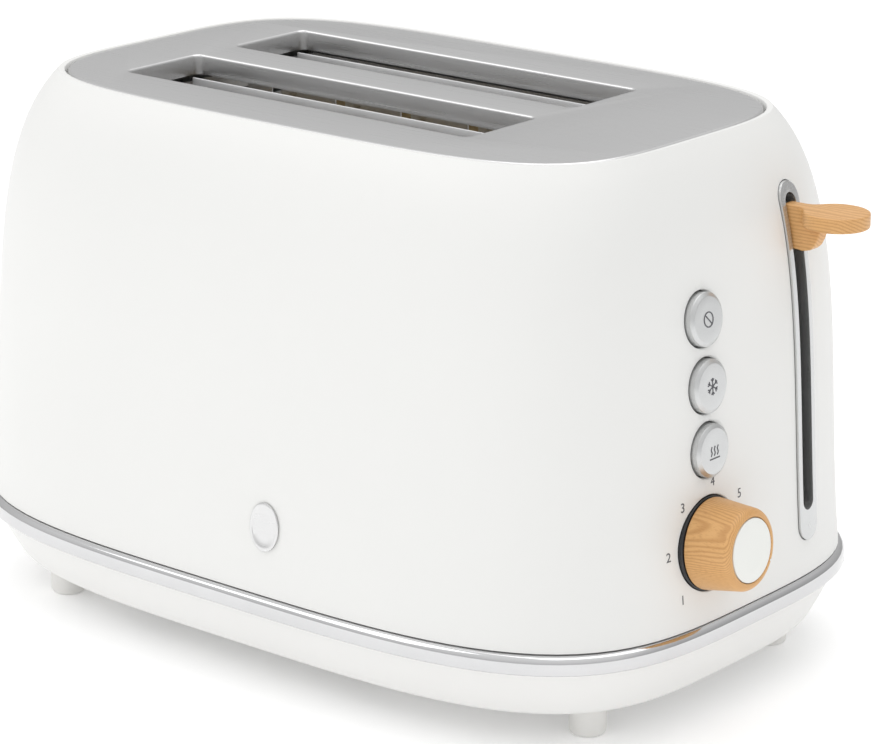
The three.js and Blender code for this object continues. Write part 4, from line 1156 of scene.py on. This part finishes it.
def heat_icon(name):
    """Three rising waves over a line."""
    parts = [bar("line", (0, -1.9 * MM), 4.4 * MM, 0)]
    for column in (-1.35, 0, 1.35):
        for step, lean in ((-0.75, 1), (0.1, -1), (0.95, 1)):
            slant = math.radians(90 - 27 * lean)
            parts.append(bar("wave", (column * MM, step * MM), 1.05 * MM, slant))
    return join(name, parts)


ICONS = {"cancel": stop_icon, "defrost": snowflake_icon, "reheat": heat_icon}


def laid_on_face(y, z):
    """A place lying flat on the control end's curved face: +X reads along it and +Y is up it."""
    step = 1 * MM
    across = Vector((face_x(y + step, z) - face_x(y - step, z), 2 * step, 0)).normalized()
    upward = Vector((face_x(y, z + step) - face_x(y, z - step), 0, 2 * step)).normalized()
    out = across.cross(upward).normalized()
    turn = Matrix((across, out.cross(across), out)).transposed()
    return Matrix.Translation((face_x(y, z), y, z)) @ turn.to_4x4()


def dial_numbers():
    """Numbers 1 to 7 printed in an arc round the knob, with 4 near the top."""
    radius = 20.4 * MM
    pitch = 46
    lean = 5
    height = 4.3 * MM
    arc_y = KNOB_Y + 1 * MM
    arc_z = RIM - KNOB_DROP - 1.2 * MM
    lift = Matrix.Translation((0, 0, INK_HEIGHT / 2))
    parts = []
    for number in range(1, 8):
        angle = math.radians(pitch * (number - 4) + lean)
        bpy.ops.object.text_add()
        digit = bpy.context.object
        digit.data.body = str(number)
        digit.data.size = height
        digit.data.align_x = "CENTER"
        digit.data.align_y = "CENTER"
        digit.data.extrude = INK_HEIGHT / 2
        close(digit)
        bpy.ops.object.convert(target="MESH")
        spot = laid_on_face(arc_y + radius * math.sin(angle), arc_z + radius * math.cos(angle))
        parts.append(put(bpy.context.object, spot @ lift))
    finish(join("dial_numbers", parts), ink, "black_plastic", "casing")


def knob_grip(place):
    """The tapered wood-effect grip, its nose rounded and recessed for the disc, with a cut for a mark."""
    base = 0.65 * MM
    bore = 3.3 * MM
    depth = 10.3 * MM
    ease = 0.5 * MM
    nose_round = 2.4 * MM
    recess = CAP_RADIUS + GAP
    profile = [(0, depth), (bore, depth), (bore, base)]
    profile += arc((KNOB_BASE - ease, base + ease), ease, -90, 0, 3)
    profile += arc((KNOB_NOSE - nose_round, KNOB_LENGTH - nose_round), nose_round, 3, 90, 9)
    profile += [(recess + 0.2 * MM, KNOB_LENGTH), (recess, KNOB_LENGTH - 0.2 * MM)]
    profile += [(recess, KNOB_RECESS), (0, KNOB_RECESS)]
    grip = turned("knob_grip", profile, place, 128)
    mark = box_tool("knob_mark", Vector((-1, -0.45, -1.2)) * MM, Vector((2.2, 0.45, 2)) * MM)
    pointer = Matrix.Rotation(math.pi - POINTER_ANGLE, 4, "Z")
    put(mark, place @ pointer @ Matrix.Translation((KNOB_NOSE - 1.2 * MM, 0, KNOB_LENGTH)))
    combine(grip, "DIFFERENCE", mark)
    finish(grip, knob_wood, "wood_effect", "browning_knob", "browning_knob", sharp=35)


def knob_disc(place):
    """The white disc let into the knob's nose, very slightly crowned."""
    crown = 0.22 * MM
    floor = KNOB_RECESS + GAP
    profile = [(0, floor), (CAP_RADIUS, floor), (CAP_RADIUS, KNOB_LENGTH - 0.25 * MM)]
    profile += arc((CAP_RADIUS - 0.3 * MM, KNOB_LENGTH - 0.2 * MM), 0.3 * MM, 0, 75, 4)
    profile += [(CAP_RADIUS * 0.6, KNOB_LENGTH + crown * 0.8), (0, KNOB_LENGTH + crown)]
    disc = turned("knob_disc", profile, place)
    finish(disc, knob_white, "white_plastic", "browning_knob", "knob_cap")


def knob_ring(place):
    """The black ring behind the knob, set in the casing."""
    inner = KNOB_BASE - 2 * MM
    bore = 3.5 * MM
    back = -WALL - 1 * MM
    proud = 0.4 * MM
    floor = 0.1 * MM
    profile = [(bore, back), (BEZEL_RADIUS, back)]
    profile += arc((BEZEL_RADIUS - proud, 0), proud, 0, 90, 4)
    profile += [(inner, proud), (inner, floor), (bore, floor), (bore, back)]
    ring = turned("knob_ring", profile, place)
    finish(ring, black, "black_plastic", "casing", "knob_bezel")


def badge():
    """A plain oval badge with a raised rim, stuck on the near side."""
    centre = (BADGE_LOW + BADGE_HIGH) / 2
    width = (BADGE_HIGH.x - BADGE_LOW.x) / 2
    tall = (BADGE_HIGH.z - BADGE_LOW.z) / 2
    # Each point is a share of the half width and a height in millimetres.
    section = [(0, 0.3), (1, 0.3), (1, 0.62), (0.97, 0.75), (0.84, 0.75), (0.8, 0.6), (0.5, 0.6), (0, 0.64)]
    piece = turned("oval_badge", [(share * width, z * MM) for share, z in section], None, 72)
    put(piece, Matrix.Diagonal((1, tall / width, 1, 1)))
    put(piece, on_near_side(centre.x, centre.z))
    finish(piece, stainless, "brushed_stainless", "casing", "badge")


# ---------------------------------------------------------------- inside the slots

GUIDE_LEFT = SLOT_X - SLOT_LENGTH / 2 + 2 * MM
GUIDE_RIGHT = SLOT_X + SLOT_LENGTH / 2 - 2 * MM
GUIDE_PITCH = 29 * MM
GUIDE_COLUMNS = [SLOT_X + (i - 2) * GUIDE_PITCH for i in range(5)]
NOTCH_HALF = 2.2 * MM
WINDOW_HALF = 12 * MM


def guide_sheet(node, low, high):
    """The punched sheet: a window and a small notch above it in each column."""
    centre = ((GUIDE_LEFT + GUIDE_RIGHT) / 2, (low.y + high.y) / 2, (low.z + high.z) / 2)
    plane = bpy.ops.mesh.primitive_plane_add
    sheet = start(node + "_sheet", plane, size=1, location=centre, rotation=(QUARTER_TURN, 0, 0))
    size = (GUIDE_RIGHT - GUIDE_LEFT, 1, high.z - low.z)
    bpy.ops.transform.resize(value=size, center_override=centre)
    notch = (high.z - 9 * MM, high.z - 3 * MM)
    window = (low.z + 6 * MM, high.z - 14 * MM)
    sides = (-WINDOW_HALF, -NOTCH_HALF, NOTCH_HALF, WINDOW_HALF)
    cuts = [((x + side, 0, 0), (1, 0, 0)) for x in GUIDE_COLUMNS for side in sides]
    slice_along(cuts + [((0, 0, z), (0, 0, 1)) for z in (*notch, *window)])

    def punched(face):
        point = face.calc_center_median()
        across = min(abs(point.x - x) for x in GUIDE_COLUMNS)
        in_notch = across < NOTCH_HALF and notch[0] < point.z < notch[1]
        return in_notch or (across < WINDOW_HALF and window[0] < point.z < window[1])

    pick("FACE", punched)
    bpy.ops.mesh.delete(type="FACE")
    close(sheet)
    modify(sheet, "SOLIDIFY", thickness=high.y - low.y, offset=0)
    clean(sheet)
    modify(sheet, "BEVEL", width=0.25 * MM, segments=2, limit_method="ANGLE", angle_limit=math.radians(40))
    return sheet


def guide_dimples(y, z):
    """Round dimples pressed into both faces of a guide, between its columns."""
    profile = [(2.1 * MM, 0.1 * MM), (1.9 * MM, 0.5 * MM), (1.2 * MM, 0.85 * MM), (0, 1 * MM)]
    dimples = []
    for x in GUIDE_COLUMNS[:-1]:
        for side in (-1, 1):
            place = Matrix.Translation((x + GUIDE_PITCH / 2 - 7 * MM, y, z))
            place = place @ Matrix.Rotation(-side * QUARTER_TURN, 4, "X")
            dimples.append(turned("dimple", profile, place, 24))
    return dimples


def guide(node):
    """A bread guide: one punched sheet with dimples, and tabs at its ends."""
    low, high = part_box(node)
    parts = [guide_sheet(node, low, high)]
    parts += guide_dimples((low.y + high.y) / 2, high.z - 6.5 * MM)
    for z in (low.z + 6 * MM, high.z - 14 * MM):
        for x0, x1 in ((low.x, GUIDE_LEFT + 1 * MM), (GUIDE_RIGHT - 1 * MM, high.x)):
            parts.append(box_tool("tab", (x0, low.y, z), (x1, high.y, z + 4 * MM)))
    finish(join(node + "_sheet", parts), zinc, "zinc_sheet", frame["nodes"][node]["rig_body"], node)


def return_spring():
    """A close-wound tension spring round the guide rod."""
    low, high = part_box("return_spring")
    slide = next(joint for joint in frame["joints"] if joint["name"] == "carriage_slide")
    axis = Vector(slide["axis"]).normalized()
    wire = 0.6 * MM
    radius = 4 * MM
    turns = 14
    length = (high.z - low.z) / axis.z - 1.2 * MM
    spring = close(start(
        "coil_spring", bpy.ops.mesh.primitive_circle_add, radius=wire, vertices=10,
        location=(radius, 0, wire), rotation=(QUARTER_TURN, 0, 0),
    ))
    modify(
        spring, "SCREW", axis="Z", angle=FULL_TURN, screw_offset=(length - 2 * wire) / turns,
        iterations=turns, steps=24, render_steps=24, use_merge_vertices=False,
    )
    edit(spring)
    pick("EDGE", lambda e: e.is_boundary)
    bpy.ops.mesh.edge_face_add()
    face_outwards()
    close(spring)
    rod = sum(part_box("guide_rod"), Vector()) / 2
    foot = rod + axis * ((low.z - rod.z) / axis.z)
    lean = Vector((0, 0, 1)).rotation_difference(axis).to_matrix().to_4x4()
    put(spring, Matrix.Translation(foot) @ lean)
    finish(spring, stainless, "brushed_stainless", "casing", "return_spring")
    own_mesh(spring)


# ---------------------------------------------------------------- the frame's own pieces

FRAME_FINISHES = (
    (zinc, (
        "base_screw_1", "base_screw_2", "base_screw_3", "base_screw_4", "crumb_tray", "lever_arm",
        "carriage_plate", "near_lifter", "far_lifter", "keeper", "rod_upper_bracket", "rod_lower_bracket",
        "front_end_plate", "rear_end_plate", "near_reflector", "far_reflector", "magnet_core",
        "magnet_bracket", "knob_shaft",
    )),
    (stainless, ("guide_rod",)),
    (mica, (
        "near_outer_heater_board", "near_centre_heater_board", "far_centre_heater_board",
        "far_outer_heater_board",
    )),
    (ribbon_steel, (
        "near_outer_heater_ribbon", "near_centre_heater_ribbon", "far_centre_heater_ribbon",
        "far_outer_heater_ribbon",
    )),
    (copper, ("magnet_coil",)),
    (board_green, ("control_board", "power_board")),
    (abs_white, ("terminal_block",)),
    (black, ("cancel_switch", "defrost_switch", "reheat_switch", "browning_switch")),
)


def finish_frame():
    """Gives each of the frame's own pieces that stays in view its finish."""
    for material, nodes in FRAME_FINISHES:
        for name in nodes:
            materials = frame["nodes"][name].data.materials
            materials.clear()
            materials.append(material)


casing()
slot_plate()
chrome_band()
skirt()
feet()
cord_gland()
tray_front()
lever_trim()
lever_handle()
for button_name in BUTTON_DROPS:
    button(button_name)
dial_numbers()
knob_place = on_face(KNOB_Y, RIM - KNOB_DROP)
knob_grip(knob_place)
knob_disc(knob_place)
knob_ring(knob_place)
badge()
for guide_name in ("near_outer_guide", "near_inner_guide", "far_inner_guide", "far_outer_guide"):
    guide(guide_name)
return_spring()
finish_frame()
